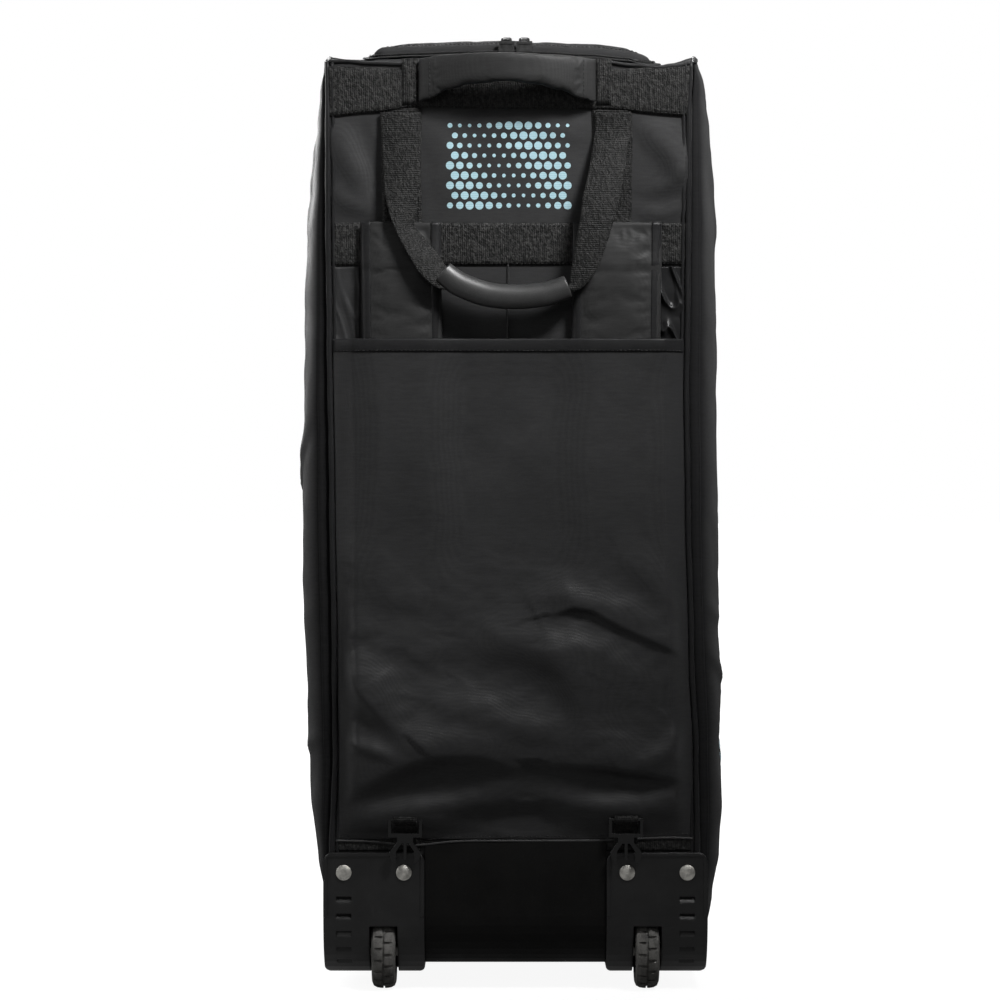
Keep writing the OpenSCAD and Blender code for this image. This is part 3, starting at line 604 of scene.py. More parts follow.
def plastic(name, dark, light, rough, texture=900, depth=0.00012, scuffs=0.25, soft_edge=0.0012,
            gloss=0.42):
    """Moulded plastic with a fine spark texture, faint scuffs and softened edges."""
    material, tree, shader, place = new_material(name)
    fine = grain(tree, place, texture, 2)
    scratch = grain(tree, drawn_out(tree, place, (1, 1, 0.15), (0.3, 0.5, 0.2)), 260, 5, 0.75)
    worn = remap(tree, scratch, 0.58, 0.78)
    cloud = grain(tree, place, 24, 4)
    tone = weigh(tree, (cloud, 0.6), (worn, scuffs))
    feed(tree, shader, {"Base Color": ramp(tree, tone, dark, light, 0.2, 0.8),
                        "Roughness": remap(tree, cloud, 0.3, 0.7, rough - 0.06, rough + 0.08),
                        "Specular IOR Level": gloss})
    finish_bump(tree, shader, weigh(tree, (fine, 1), (worn, -0.4)), depth, 0.6, soft_edge)
    return material


def metal(name, colour, rough):
    material, tree, shader, place = new_material(name)
    cloud = grain(tree, place, 180, 4)
    dark = tuple(c * 0.55 for c in colour)
    feed(tree, shader, {"Base Color": ramp(tree, cloud, dark, colour, 0.3, 0.62), "Metallic": 1.0,
                        "Roughness": rough})
    finish_bump(tree, shader, grain(tree, place, 700, 3), 0.0001, 0.5, 0.0006)
    return material


def rubber(name, dark, light, rough, dusty=0.5, gloss=0.4):
    material, tree, shader, place = new_material(name)
    dust = grain(tree, place, 60, 6, 0.7)
    fine = grain(tree, place, 900, 2)
    tone = weigh(tree, (dust, dusty), (fine, 0.3))
    feed(tree, shader, {"Base Color": ramp(tree, tone, dark, light, 0.25, 0.6), "Roughness": rough,
                        "Specular IOR Level": gloss})
    finish_bump(tree, shader, fine, 0.0002, 0.5, 0.0006)
    return material


def print_ink():
    """Screen-printed ink: a flat pale blue with the weave showing through."""
    material, tree, shader, place = new_material("print_ink")
    weave = waves(tree, place, "Z", 0.0022, 0.6)
    tone = weigh(tree, (weave, 0.4), (grain(tree, place, 500, 3), 0.6))
    feed(tree, shader, {"Base Color": ramp(tree, tone, (0.36, 0.60, 0.68), (0.56, 0.78, 0.85), 0.2, 0.8),
                        "Roughness": 0.6})
    finish_bump(tree, shader, weave, 0.0002, 0.4)
    return material


MAT = {
    "panel": cloth("panel_cloth", (0.022, 0.022, 0.0225), (0.048, 0.048, 0.049)),
    "cover": cloth("cover_cloth", (0.021, 0.021, 0.0215), (0.045, 0.045, 0.046), rough=0.62,
                   gloss=0.04, sheen=0.02),
    "pocket": cloth("pocket_cloth", (0.021, 0.021, 0.0215), (0.044, 0.044, 0.045), rough=0.40,
                    gloss=0.30),
    "gusset": cloth("gusset_cloth", (0.014, 0.014, 0.0145), (0.030, 0.030, 0.031),
                    rough=0.6, gloss=0.05, sheen=0.0, crumple=1.2),
    "padding": cloth("pad_cloth", (0.021, 0.021, 0.021), (0.044, 0.044, 0.044), rough=0.46),
    "lining": cloth("lining_cloth", (0.011, 0.011, 0.0115), (0.024, 0.024, 0.025), rough=0.32,
                    gloss=0.30, sheen=0.02, rib=0.0008, rib_strength=0.12),
    "piping": cloth("piping_cloth", (0.010, 0.010, 0.0105), (0.024, 0.024, 0.025), rough=0.42,
                    rib=0.0011),
    "thread": cloth("thread", (0.016, 0.016, 0.016), (0.045, 0.045, 0.045), rough=0.45,
                    rib=0.0006, rib_strength=0.3),
    "zip": cloth("zip_tape", (0.008, 0.008, 0.008), (0.020, 0.020, 0.020), rough=0.6, rib=0.0009),
    "coil": plastic("zip_coil", (0.010, 0.010, 0.010), (0.03, 0.03, 0.03), 0.34, soft_edge=0.0),
    "band": webbing("band_webbing", "X", (0.004, 0.004, 0.004), (0.058, 0.057, 0.055)),
    "strap": webbing("strap_webbing", "Z", (0.0035, 0.0035, 0.0035), (0.033, 0.0325, 0.031)),
    # The welt's cloth is lighter than the rest of the black bag: a painted highlight for the light line along
    # the pocket's foot.
    "welt": cloth("welt_cloth_painted_highlight", (0.045, 0.045, 0.045), (0.090, 0.090, 0.090), rough=0.42,
                  rib=0.0011),
    "moulded": plastic("moulded_black", (0.0070, 0.0070, 0.0073), (0.035, 0.035, 0.035), 0.36,
                       soft_edge=0.0024, gloss=0.6),
    "skid": plastic("skid_plastic", (0.0045, 0.0044, 0.0042), (0.0150, 0.0148, 0.0142), 0.60,
                    texture=520, depth=0.0003, gloss=0.18),
    "buckle": plastic("buckle_acetal", (0.004, 0.004, 0.0042), (0.015, 0.015, 0.015), 0.25,
                      texture=1300, depth=0.00005, scuffs=0.1, soft_edge=0.0012, gloss=0.6),
    "grip": rubber("grip_rubber", (0.030, 0.030, 0.030), (0.078, 0.078, 0.078), 0.42, 0.35, 0.7),
    "tyre": rubber("tyre_rubber", (0.018, 0.018, 0.018), (0.215, 0.210, 0.198), 0.7, 0.75),
    "hub": plastic("hub_plastic", (0.010, 0.010, 0.010), (0.03, 0.03, 0.03), 0.4),
    "board": plastic("board_black", (0.010, 0.010, 0.0105), (0.02, 0.02, 0.021), 0.6),
    "steel": metal("axle_steel", (0.50, 0.49, 0.46), 0.34),
    "rivet": metal("rivet_nickel", (0.88, 0.86, 0.80), 0.46),
    "slider": metal("slider_enamel", (0.12, 0.12, 0.12), 0.32),
    "ink": print_ink(),
}


# ---- bag shell ----

def back_panel():
    """The panel that faces the camera."""
    def point(u, v):
        z = mix(PANEL_LOW, SHOULDER_Z, v)
        x = mix(side_x(-1, z) + 0.001, side_x(1, z) - 0.001, u)
        return panel_point(x, mix(PANEL_LOW, along(TOP_SEAM, x) - 0.0006, v))
    sheet_piece("panel_back", point, 190, 80, 0.002, "bag", MAT["panel"], ["back_panel"])


# Creases of each side wall: points are (depth, height)
GUSSET_FOLDS = {
    -1: metres([
        ([(-145, 575), (-110, 545), (-60, 515), (20, 500)], 5, 18, 7),
        ([(-150, 250), (-120, 246), (-60, 236)], 4, 10, 5),
        ([(-100, 860), (-20, 780), (60, 730)], 4, 22, 14),
        ([(160, 800), (80, 680), (20, 620)], 4, 20, 12),
        ([(150, 220), (50, 280), (-20, 300)], 5, 24, 12),
    ]),
    1: metres([
        ([(-145, 335), (-100, 315), (-40, 310)], 5, 14, 6),
        ([(-150, 385), (-110, 372), (-60, 372)], 3, 12, 6),
        ([(-120, 840), (-40, 770), (40, 740)], 4, 22, 14),
        ([(160, 620), (80, 550), (0, 520)], 4, 22, 12),
        ([(150, 200), (60, 240), (-40, 220)], 5, 22, 12),
    ]),
}


def gusset_point(side, t, v):
    """t runs from the piping to the front, v from the floor to the top end."""
    y = mix(GUSSET_REAR, GUSSET_FRONT, t)
    bend_y = BACK_Y + BEND_R
    low = FLOOR_TOP
    if y < bend_y:
        low = max(FLOOR_TOP, BEND_Z - math.sqrt(max(0.0, (BEND_R - 0.0006) ** 2 - (bend_y - y) ** 2)))
    if y < CORNER_Y:
        high = on_wrap(side * FRAME_X, WRAP_L + BACK_Y - y, GUSSET_TOP_LIFT).z
    else:
        high = CORNER_Z + math.sqrt(max(0.0, (CORNER_R - 0.001) ** 2 - (y - CORNER_Y) ** 2))
    z = mix(low, high, v)
    rear_x = abs(side_x(side, z)) + 0.0028
    base = mix(rear_x, FRAME_X, t)
    reach = along(REACH_RIGHT if side > 0 else REACH_LEFT, z)
    across = math.sin(math.pi * t ** 0.62)
    swell = max(0.0, across) ** 0.62 * (reach - mix(rear_x, FRAME_X, 0.33))
    hem = min(1.0, (high - z) / 0.018) ** 0.7 * min(1.0, 0.15 + (z - low) / 0.02)
    top = ease(1 - (high - z) / 0.05)
    base = mix(base, FRAME_X, 0.85 * top * (1 - 0.7 * (1 - min(1, t / 0.1))))
    creased = max(0.0, math.sin(math.pi * t)) ** 0.5
    soft = 0.0042 * bumpy(side * 2.0, y, z * 0.55, 11, 5.2) + 0.0016 * bumpy(side, y, z, 34, 1.1)
    crease = fold_lift(GUSSET_FOLDS[side], y, z)
    x = base + swell * hem + (soft + crease) * creased * hem
    return Vector((side * x, y, z))


def gussets():
    """The two soft side walls, with closer columns at their edges."""
    for side, word in SIDES:
        def point(u, v):
            t = 0.5 - 0.5 * math.cos(math.pi * u)
            return gusset_point(side, 0.6 * t + 0.4 * u, v)
        sheet_piece("gusset_" + word, point, 170, 62, 0.0018, "bag", MAT["gusset"],
                    [word + "_gusset"], turn=side < 0)


def seam_tapes():
    """Binding inside the bag that closes the corner between the back panel and each gusset."""
    for side, word in SIDES:
        def point(u, v):
            wall = gusset_point(side, 0.012, 0.004 + 0.990 * v)
            near = Vector((side_x(side, wall.z) - side * 0.007, BACK_Y + 0.0024, wall.z))
            far = Vector((wall.x - side * 0.0010, wall.y, wall.z))
            return mix(near, far, u)
        sheet_piece("seam_tape_" + word, point, 120, 4, 0.0010, "bag", MAT["piping"], turn=side > 0)


def top_and_front():
    """The cloth round the cover: top end, the strips beside the mouth and the front wall."""
    mouth_s0 = COVER_S0 + LAP
    mouth_s1 = COVER_S1 - LAP

    def lift(x, s):
        return 0.0006 * bumpy(x, s, 0.2, 16) - 0.0005

    def rear(u, v):
        s = mix(mouth_s1, WRAP_L, v)
        edge = FRAME_X - 0.004 * ease((s - WRAP_L + 0.02) / 0.02)
        return on_wrap(mix(-edge, edge, u), s, lift(u, s))
    sheet_piece("top_end_cloth", rear, 12, 90, 0.002, "bag", MAT["cover"], ["top_end"], turn=True)

    def lower(u, v):
        return on_wrap(mix(-FRAME_X, FRAME_X, u), mix(0.0, mouth_s0, v), lift(u, v))
    sheet_piece("front_wall", lower, 24, 80, 0.002, "bag", MAT["gusset"], ["front_panel"], turn=True)
    for side, word in SIDES:
        def strip(u, v):
            return on_wrap(side * mix(MOUTH_X, FRAME_X, u), mix(mouth_s0, mouth_s1, v), lift(side * u, v))
        sheet_piece("cover_frame_" + word, strip, 120, 10, 0.002, "bag", MAT["gusset"],
                    [word + "_cover_frame"], turn=side > 0)


def piping():
    """Piping up the edges of the back panel, with the thin welt beside it, and round the top."""
    for side, word in SIDES:
        path = []
        for z in steps(HOUSING_TOP - 0.004, along(TOP_SEAM, side * SEAM_X) - 0.0024, 149):
            path.append(Vector((side_x(side, z), BACK_Y - 0.0005, z)))
        path.append(path[-1] + Vector((0, 0.0030, 0.0008)))

        def radius(t):
            return PIPING_R * (1 + 0.06 * math.sin(t * 91)) * (1 - 0.35 * ease((t - 0.90) / 0.08))
        rings = tube_rings(path, radius, 12)
        ring_piece("piping_" + word, rings, "bag", MAT["piping"], [word + "_piping"])
        lip = [p + Vector((-side * 0.0052, -0.0002, 0)) for p in path[:-1]]
        ring_piece("piping_welt_" + word, tube_rings(lip, 0.0017, 8), "bag", MAT["piping"])
        seam = []
        for k in range(161):
            s = (WRAP_L - 0.004) * k / 160
            inset = 0.001 + 0.0030 * ease((s - WRAP_L + 0.060) / 0.050)
            seam.append(on_wrap(side * (FRAME_X - inset), s, -0.0014))
        seam.append(Vector((side * SEAM_X, BACK_Y + 0.0015, along(TOP_SEAM, side * SEAM_X) - 0.0016)))
        ring_piece("edge_welt_" + word, tube_rings(seam, 0.0019, 8), "bag", MAT["piping"])
    edge = [Vector((x, BACK_Y - 0.0004, along(TOP_SEAM, x) - 0.0012))
            for x in steps(-EDGE_X - 0.004, EDGE_X + 0.001, 90)]
    ring_piece("top_edge_welt", tube_rings(edge, 0.0020, 8), "bag", MAT["piping"])


# ---- webbing on the back panel ----

BAND_UPPER = metres([(-185, 925.5), (-140, 924), (-93, 921.5), (0, 921.5), (85, 922.5), (178, 926)])
BAND_LOWER = metres([(-185, 875), (-140, 879), (-93, 884.5), (0, 883), (85, 882.5), (178, 875.5)])


def flat_band(name, x0, x1, lower, upper, lift, node=(), cols=100):
    """Webbing laid flat on the panel from x0 to x1, between two tables of heights."""
    thickness = 0.0016

    def point(u, v):
        x = mix(x0, x1, u)
        z = mix(along(lower, x), along(upper, x), v)
        edge = min(v, 1 - v, u * 4, (1 - u) * 4)
        out = lift + thickness * (0.55 + 0.45 * ease(edge / 0.08)) + 0.0003 * bumpy(x, 0, z, 30)
        return panel_point(x, z, out)
    sheet_piece(name, point, 10, cols, thickness, "bag", MAT["band"], node)


def bands():
    """The wide webbing across the top and the middle of the panel, and the narrow strip at its foot."""
    flat_band("band_top", side_x(-1, 0.9) + 0.0005, side_x(1, 0.9) + 0.002, BAND_LOWER, BAND_UPPER, 0.0008,
              ["top_band"])
    low = [(-0.2, MID_LOW), (0.2, MID_LOW + 0.0012)]
    high = [(-0.2, MID_LOW + WEB_W + 0.0012), (0.2, MID_LOW + WEB_W + 0.0008)]
    flat_band("band_middle", side_x(-1, 0.75) + 0.002, side_x(1, 0.75) - 0.002, low, high, 0.0002,
              ["middle_band"])
    foot_low = [(-0.2, 0.1412), (0.2, 0.1412)]
    foot_high = [(-0.2, 0.1530), (0.2, 0.1560)]
    flat_band("band_base_left", -EDGE_X, -0.091, foot_low, foot_high, 0.0001, ["base_webbing"], cols=40)
    flat_band("band_base_right", 0.093, EDGE_X + 0.004, foot_low, foot_high, 0.0001, cols=40)
    rows = []
    for table, inset in ((BAND_LOWER, 0.0022), (BAND_UPPER, -0.0022)):
        rows.append([panel_point(x, along(table, x) + inset, 0.0020) for x in steps(-0.179, 0.176, 80)])
    for z in (MID_LOW + 0.0025, MID_LOW + WEB_W - 0.0018):
        rows.append([panel_point(x, z, 0.0020) for x in steps(-0.178, 0.172, 80)])
    stitch_piece("band_stitches", rows, "bag", (0, -1, 0))


def anchors():
    """Upright webbing behind the carry loop, sewn to the panel, and the box stitching on it."""
    rows = []
    for side, word, x0, x1 in ((-1, "left", -0.1300, -0.0905), (1, "right", 0.0800, 0.1200)):
        def point(u, v):
            z = mix(MID_LOW + WEB_W - 0.002, 0.884, v)
            x = mix(x0, x1, u) + 0.0005 * math.sin(z * 60 + side)
            edge = min(u, 1 - u)
            return panel_point(x, z, 0.0009 + 0.0007 * ease(edge / 0.08))
        sheet_piece("anchor_strap_" + word, point, 60, 10, 0.0014, "bag", MAT["strap"],
                    [word + "_anchor_webbing"])
        for x in (x0 + 0.0025, x1 - 0.0025):
            rows.append([panel_point(x, z, 0.0018) for z in steps(0.768, 0.882, 30)])
    seam = [panel_point(-0.0040, z, 0.0004) for z in steps(POCKET_TOP - 0.06, MID_LOW + 0.002, 40)]
    ring_piece("panel_seam", tube_rings(seam, 0.0011, 8), "bag", MAT["panel"])
    stitch_piece("anchor_stitches", rows, "bag", (0, -1, 0))


def dots(name, discs, sides, lay):
    """Printed dots. discs holds (across, up, radius), and lay puts a point on the cloth."""
    verts, faces = [], []
    for across, up, size in discs:
        faces.append(tuple(range(len(verts), len(verts) + sides)))
        verts += [lay(across + size * math.cos(a), up + size * math.sin(a)) for a in circle(sides)]
    make_piece(name, verts, faces, "bag", MAT["ink"], flat=True)


def print_field():
    """A generic field of round dots that grow and shrink across the upper panel."""
    discs = []
    for row in range(9):
        for col in range(13):
            x = -0.062 + 0.0098 * col + (0.0049 if row % 2 else 0.0)
            if x > 0.058:
                continue
            size = 0.0018 + 0.0024 * (0.5 + 0.5 * math.sin(col * 0.62 + row * 0.45))
            discs.append((x, 0.7865 + 0.0100 * row, size))
    dots("print_field", discs, 20, lambda x, z: panel_point(x, z, 0.00025))


def gusset_dots():
    """Generic round dots low on the right gusset."""
    discs = []
    for row in range(16):
        for col in range(5):
            size = 0.0030 + 0.0022 * (0.5 + 0.5 * math.sin(row * 0.5 + col * 0.9))
            discs.append((-0.045 + 0.020 * col, 0.185 + 0.0135 * row, size))
    dots("gusset_print", discs, 14, lambda y, z: on_gusset(1, y, z, 0.0004))


def on_gusset(side, y, z, out):
    t = (y - GUSSET_REAR) / (GUSSET_FRONT - GUSSET_REAR)
    high = on_wrap(side * FRAME_X, WRAP_L + BACK_Y - y, GUSSET_TOP_LIFT).z
    p = gusset_point(side, t, (z - FLOOR_TOP) / (high - FLOOR_TOP))
    return Vector((p.x + side * out, y, z))


# ---- shoulder straps and stow pocket ----

def strap_thick(z, most):
    """A shoulder strap's thickness: sewn thin under the band, most below it."""
    return mix(most, SEWN_T, ease((z - 0.700) / 0.066))


def strap_back(z):
    """Where the strap's rear face lies: on the panel, or on the band under its top."""
    return BACK_Y - 0.0022 - (0.0012 if z > 0.724 else 0.0)


def strap_pad(name, x0, x1, node, seed):
    """A padded strap, sewn flat under the band's top edge and swelling below it."""
    rings = []
    for t in steps(0.0, 1.0, 89):
        z = mix(PAD_LOW, STRAP_TOP + 0.0004, t)
        thick = strap_thick(z, 0.0112)
        thick *= 0.55 + 0.45 * math.sqrt(max(0.0, 1 - (1 - min(1, t / 0.03)) ** 2))
        half = (x1 - x0) / 2 - 0.008 * (1 - math.sqrt(max(0.0, 1 - (1 - min(1, t / 0.04)) ** 2)))
        mid = (x0 + x1) / 2 + 0.0012 * math.sin(z * 14 + seed)
        back = strap_back(z)
        ring = []
        for a in circle(36):
            cx, cy = squircle(a, 0.34, 0.6)
            x = mid + half * cx
            soft = 0.0008 * bumpy(x, 0.3, z, 16, seed) * (1 if cy > 0 else 0)
            ring.append(Vector((x, back - thick / 2 - cy * thick / 2 - soft, z)))
        rings.append(ring)
    return ring_piece(name, rings, "bag", MAT["padding"], [node])


def strap_bindings(x_edges):
    """Grosgrain binding down the long edges of the straps."""
    for k, (x, side, seed) in enumerate(x_edges):
        def point(u, v):
            z = mix(0.560, STRAP_TOP - 0.0005, v)
            sway = side * 0.0095 * (u - 0.5) + 0.0012 * math.sin(z * 14 + seed)
            out = strap_thick(z, 0.0108) * (1.0 - 0.42 * max(0.0, u) ** 3) + 0.0006
            return Vector((x + sway, strap_back(z) - out, z))
        sheet_piece("strap_binding_%d" % k, point, 60, 8, 0.0010, "bag", MAT["piping"], turn=side < 0)


def shoulder_straps():
    """Both stowed straps, with the webbing that hangs from them inside the pocket."""
    for word, x0, x1, seed in (("left", -0.1500, -0.0690, 0.4), ("right", 0.0600, 0.1500, 2.1)):
        pad = strap_pad("strap_pad_" + word, x0, x1, word + "_shoulder_strap", seed)
        middle = (x0 + x1) / 2 + LEAN
        reach = (x1 - x0) / 2 - 0.012

        def held(co):
            sewn = abs(co.x - middle) > reach or co.z > STRAP_TOP - 0.006
            return sewn or co.y > BACK_Y - 0.0055
        swell(pad, held, 0.0035, voxel=0.0031)
    strap_bindings([(-0.0745, 1, 0.4), (-0.1450, -1, 0.4), (0.0650, -1, 2.1), (0.1440, 1, 2.1)])
    for side, word in SIDES:
        def tail(u, v):
            z = mix(PAD_LOW - 0.032, PAD_LOW + 0.006, v)
            return Vector((side * 0.105 + mix(-0.012, 0.012, u), BACK_Y - 0.0090, z))
        sheet_piece("strap_tail_" + word, tail, 8, 6, 0.0018, "bag", MAT["strap"], [word + "_strap_webbing"])


def lining():
    """Crumpled shiny lining that shows beside the right-hand strap, and its plain twin on the left."""
    def crumpled(x, z, seed):
        drawn = bumpy(x * 1.5 + z * 0.35, 0.0, z * 0.42, 58, seed)
        ridge = 0.0085 * max(0.0, 0.62 - abs(drawn) * 2.2) ** 1.5
        return 0.0010 + ridge + 0.0016 * bumpy(x, 0.4, z, 40, seed)

    def right(u, v):
        z = mix(*LINING_Z, v)
        x = mix(0.1470, side_x(1, z) - 0.0025, u)
        return Vector((x, BACK_Y - crumpled(x, z, 4.4) * ease(min(u, 1 - u) / 0.15 + 0.2), z))
    sheet_piece("lining_right", right, 110, 40, 0.0008, "bag", MAT["lining"], ["pocket_lining"])

    def left(u, v):
        z = mix(*LINING_Z, v)
        x = mix(side_x(-1, z) + 0.0025, -0.1520, u)
        return Vector((x, BACK_Y - crumpled(x, z, 9.7) * 0.35, z))
    sheet_piece("lining_left", left, 60, 20, 0.0008, "bag", MAT["panel"])


def stow_pocket():
    """The big pocket, with its bound mouth and the welt along its foot, whose lighter cloth is a painted
    highlight.
    """
    def point(u, v):
        z = mix(POCKET_LOW, POCKET_TOP, v)
        across = 0.5 - 0.5 * math.cos(math.pi * u) * 0.25 + 0.75 * (u - 0.5)
        x = mix(side_x(-1, z) + 0.0030, side_x(1, z) - 0.0030, across)
        return pocket_point(x, z)
    piece = sheet_piece("stow_pocket_cloth", point, 230, 150, 0.0010, "bag", MAT["pocket"], ["stow_pocket"])

    def hem(u, v):
        z = mix(POCKET_TOP - 0.0125, POCKET_TOP + 0.0006, v)
        x = mix(side_x(-1, z) + 0.0032, side_x(1, z) - 0.0032, u)
        round_off = 0.0005 * math.sin(math.pi * min(1, max(0, v)))
        return pocket_point(x, z, 0.0008 + round_off)
    sheet_piece("pocket_mouth_hem", hem, 8, 110, 0.0022, "bag", MAT["piping"], ["pocket_hem"])
    welt = []
    for x in steps(side_x(-1, 0.15) + 0.004, side_x(1, 0.15) - 0.004, 120):
        sag = 0.0045 * math.exp(-((x + 0.10) / 0.030) ** 2) - 0.003 * math.exp(-((x - 0.16) / 0.05) ** 2)
        welt.append(panel_point(x, POCKET_LOW - 0.0006 - sag, 0.0022))
    # This welt's lighter cloth is a painted highlight along the pocket's foot edge.
    ring_piece("pocket_foot_welt", tube_rings(welt, 0.0012, 8), "bag", MAT["welt"])
    rows = [[pocket_point(x, POCKET_TOP - 0.0112, 0.0014) for x in steps(-0.176, 0.170, 90)],
            [p + Vector((0, 0.0002, 0.0045)) for p in welt]]
    stitch_piece("pocket_stitches", rows, "bag", (0, -1, 0))


# ---- cover and zip ----

COVER_FOLDS = metres([
    ([(-130, 620), (-60, 580), (20, 590)], 3.2, 26, 13),
    ([(120, 500), (50, 440), (-30, 430)], 3, 26, 13),
    ([(-120, 300), (-50, 330), (40, 310)], 3.2, 22, 12),
    ([(120, 200), (40, 170), (-50, 180)], 2.8, 24, 12),
    ([(-120, 820), (-40, 800), (60, 820)], -2.2, 20, 16),
])


def cover_lift(x, s):
    """Height of the padded cover over the frame, with its rolled edge and soft dents."""
    half = cover_half(s)
    inside = min(half - abs(x), s - COVER_S0, COVER_S1 - s)
    roll = math.sqrt(max(0.0, 1 - (1 - min(1.0, max(0.0, inside) / 0.011)) ** 2))
    crown = 0.0045 * math.sin(math.pi * (s - COVER_S0) / (COVER_S1 - COVER_S0)) * (1 - (x / COVER_X) ** 2)
    soft = 0.0016 * bumpy(x, s, 0.9, 10, 7.7) + 0.0007 * bumpy(x, s, 0.4, 30, 2.2)
    dent = fold_lift(COVER_FOLDS, x, s)
    return 0.0012 + (COVER_RISE - 0.0012) * roll + (crown + soft + dent) * ease(inside / 0.03)


def padded_cover():
    """The front cover, with closer rows and columns at its rolled edge."""
    def point(u, v):
        t = 0.5 - 0.5 * math.cos(math.pi * v)
        s = mix(COVER_S0, COVER_S1, 0.45 * t + 0.55 * v)
        half = cover_half(s)
        w = -math.cos(math.pi * u)
        x = half * (0.45 * w + 0.55 * (2 * u - 1))
        return on_wrap(x, s, cover_lift(x, s))
    piece = sheet_piece("cover_shell", point, 230, 84, 0, "cover", MAT["cover"], ["cover"], turn=True)

    def held(co):
        up = co.z - HINGE_Z if co.y > CORNER_Y - 0.01 else 1.0
        rear = co.y - COVER_REAR if co.z > CORNER_Z else 1.0
        return min(COVER_X - abs(co.x - LEAN), up, 0.4 * rear) < 0.020
    swell(piece, held, 0.0030, pressure=3.0, voxel=0, shrink=-0.015)
    thicken(piece, 0.0022)
    return piece


def outline(grow, lift, pitch=0.004):
    """Points round the cover's edge from one hinge corner to the other, grown outwards."""
    top = COVER_S1 + grow
    side = COVER_X + grow
    r = COVER_R + grow
    low = COVER_S0 + 0.002
    n = int((top - r - low) / pitch)
    up = [(side, mix(low, top - r, k / n)) for k in range(n)]
    bend = [(side - r + r * math.cos(a), top - r + r * math.sin(a)) for a in steps(0.0, math.pi / 2, 8)]
    m = int((side - r) / pitch)
    flat = [(mix(side - r, 0, k / m), top) for k in range(1, m + 1)]
    half = up + bend + flat
    whole = half + [(-x, s) for x, s in reversed(half[:-1])]
    return [on_wrap(x, s, lift) for x, s in whole]


def zip_strip(name, inner, outer, low, high, body, nodes):
    """A flat tape between two outlines of the cover."""
    a = outline(inner, low)
    b = outline(outer, high)
    count = min(len(a), len(b))
    a = [a[round(k * (len(a) - 1) / (count - 1))] for k in range(count)]
    b = [b[round(k * (len(b) - 1) / (count - 1))] for k in range(count)]
    verts = [point for p, q in zip(a, b) for point in steps(p, q, 3)]
    piece = make_piece(name, verts, grid_faces(count, 4), body, MAT["zip"], nodes)
    thicken(piece, 0.0009, 0.0)
    return piece


def zip_chain():
    """The zip's two tapes and its teeth."""
    zip_strip("zip_tape_bag", 0.0022, 0.0022 + TAPE_W, 0.0018, 0.0012, "bag", ["zip_bag_tape"])
    zip_strip("zip_tape_cover", 0.0001, 0.0021, 0.0040, 0.0022, "cover", ["zip_cover_tape"])
    verts, faces = [], []
    path = outline(0.0026, 0.0030)
    for p, d in resample(path, 0.0026):
        out = Vector((0, 0, 1)) if p.z > CORNER_Z + 0.03 else Vector((0, 1, 0))
        if p.y > CORNER_Y and p.z > CORNER_Z:
            out = Vector((0, p.y - CORNER_Y, p.z - CORNER_Z)).normalized()
        wide = d.cross(out).normalized() * 0.0021
        high = out * 0.0010
        run = d * 0.00085
        base = len(verts)
        verts += [p - wide - run, p + wide - run, p + wide + run, p - wide + run,
                  p - wide * 0.7 - run * 0.7 + high, p + wide * 0.7 - run * 0.7 + high,
                  p + wide * 0.7 + run * 0.7 + high, p - wide * 0.7 + run * 0.7 + high]
        faces += [tuple(base + n for n in f) for f in
                  ((4, 5, 6, 7), (0, 1, 5, 4), (1, 2, 6, 5), (2, 3, 7, 6), (3, 0, 4, 7), (3, 2, 1, 0))]
    make_piece("zip_teeth", verts, faces, "bag", MAT["coil"], flat=True)


def hinge_seam():
    """The tape along the cover's foot, which it hangs by."""
    def point(u, v):
        x = mix(-COVER_X, COVER_X, u)
        z = mix(HINGE_Z - 0.020, HINGE_Z - 0.0002, v)
        return Vector((x, FRAME_Y + 0.0011 + 0.0006 * math.sin(math.pi * v), z))
    sheet_piece("hinge_strip", point, 8, 60, 0.0010, "bag", MAT["piping"], ["hinge_tape"], turn=True)
    rows = [[Vector((x, FRAME_Y + 0.0017, HINGE_Z - d)) for x in steps(-0.138, 0.138, 40)]
            for d in (0.0035, 0.0165)]
    stitch_piece("hinge_stitches", rows, "bag", (0, 1, 0))


def cover_stitches():
    """Two rows of stitches inside the cover's edge."""
    rows = []
    for inset in (0.014, 0.018):
        edge = COVER_X - inset
        top = COVER_S1 - inset
        up = steps(COVER_S0 + 0.01, top, 160)
        across = steps(-edge, edge, 60)
        paths = [[(edge, s) for s in up], [(-edge, s) for s in up], [(x, top) for x in across]]
        rows += [[on_wrap(x, s, cover_lift(x, s) + 0.0003) for x, s in path] for path in paths]

    def outward(p):
        if p.z < CORNER_Z:
            return Vector((0, 1, 0))
        if p.y > CORNER_Y:
            return Vector((0, p.y - CORNER_Y, p.z - CORNER_Z)).normalized()
        return Vector((0, 0, 1))
    stitch_piece("cover_stitching", rows, "cover", outward)


# ---- handles ----

HANDLE_LOWER = metres([(-94, 888.5), (-83, 891.5), (-62, 899.5), (-40, 904.5), (-3, 907), (24, 904),
                       (45, 898.5), (72, 891), (83, 888)])
HANDLE_UPPER = metres([(-94, 933.5), (-60, 935), (0, 935.5), (50, 934.5), (83, 932.5)])


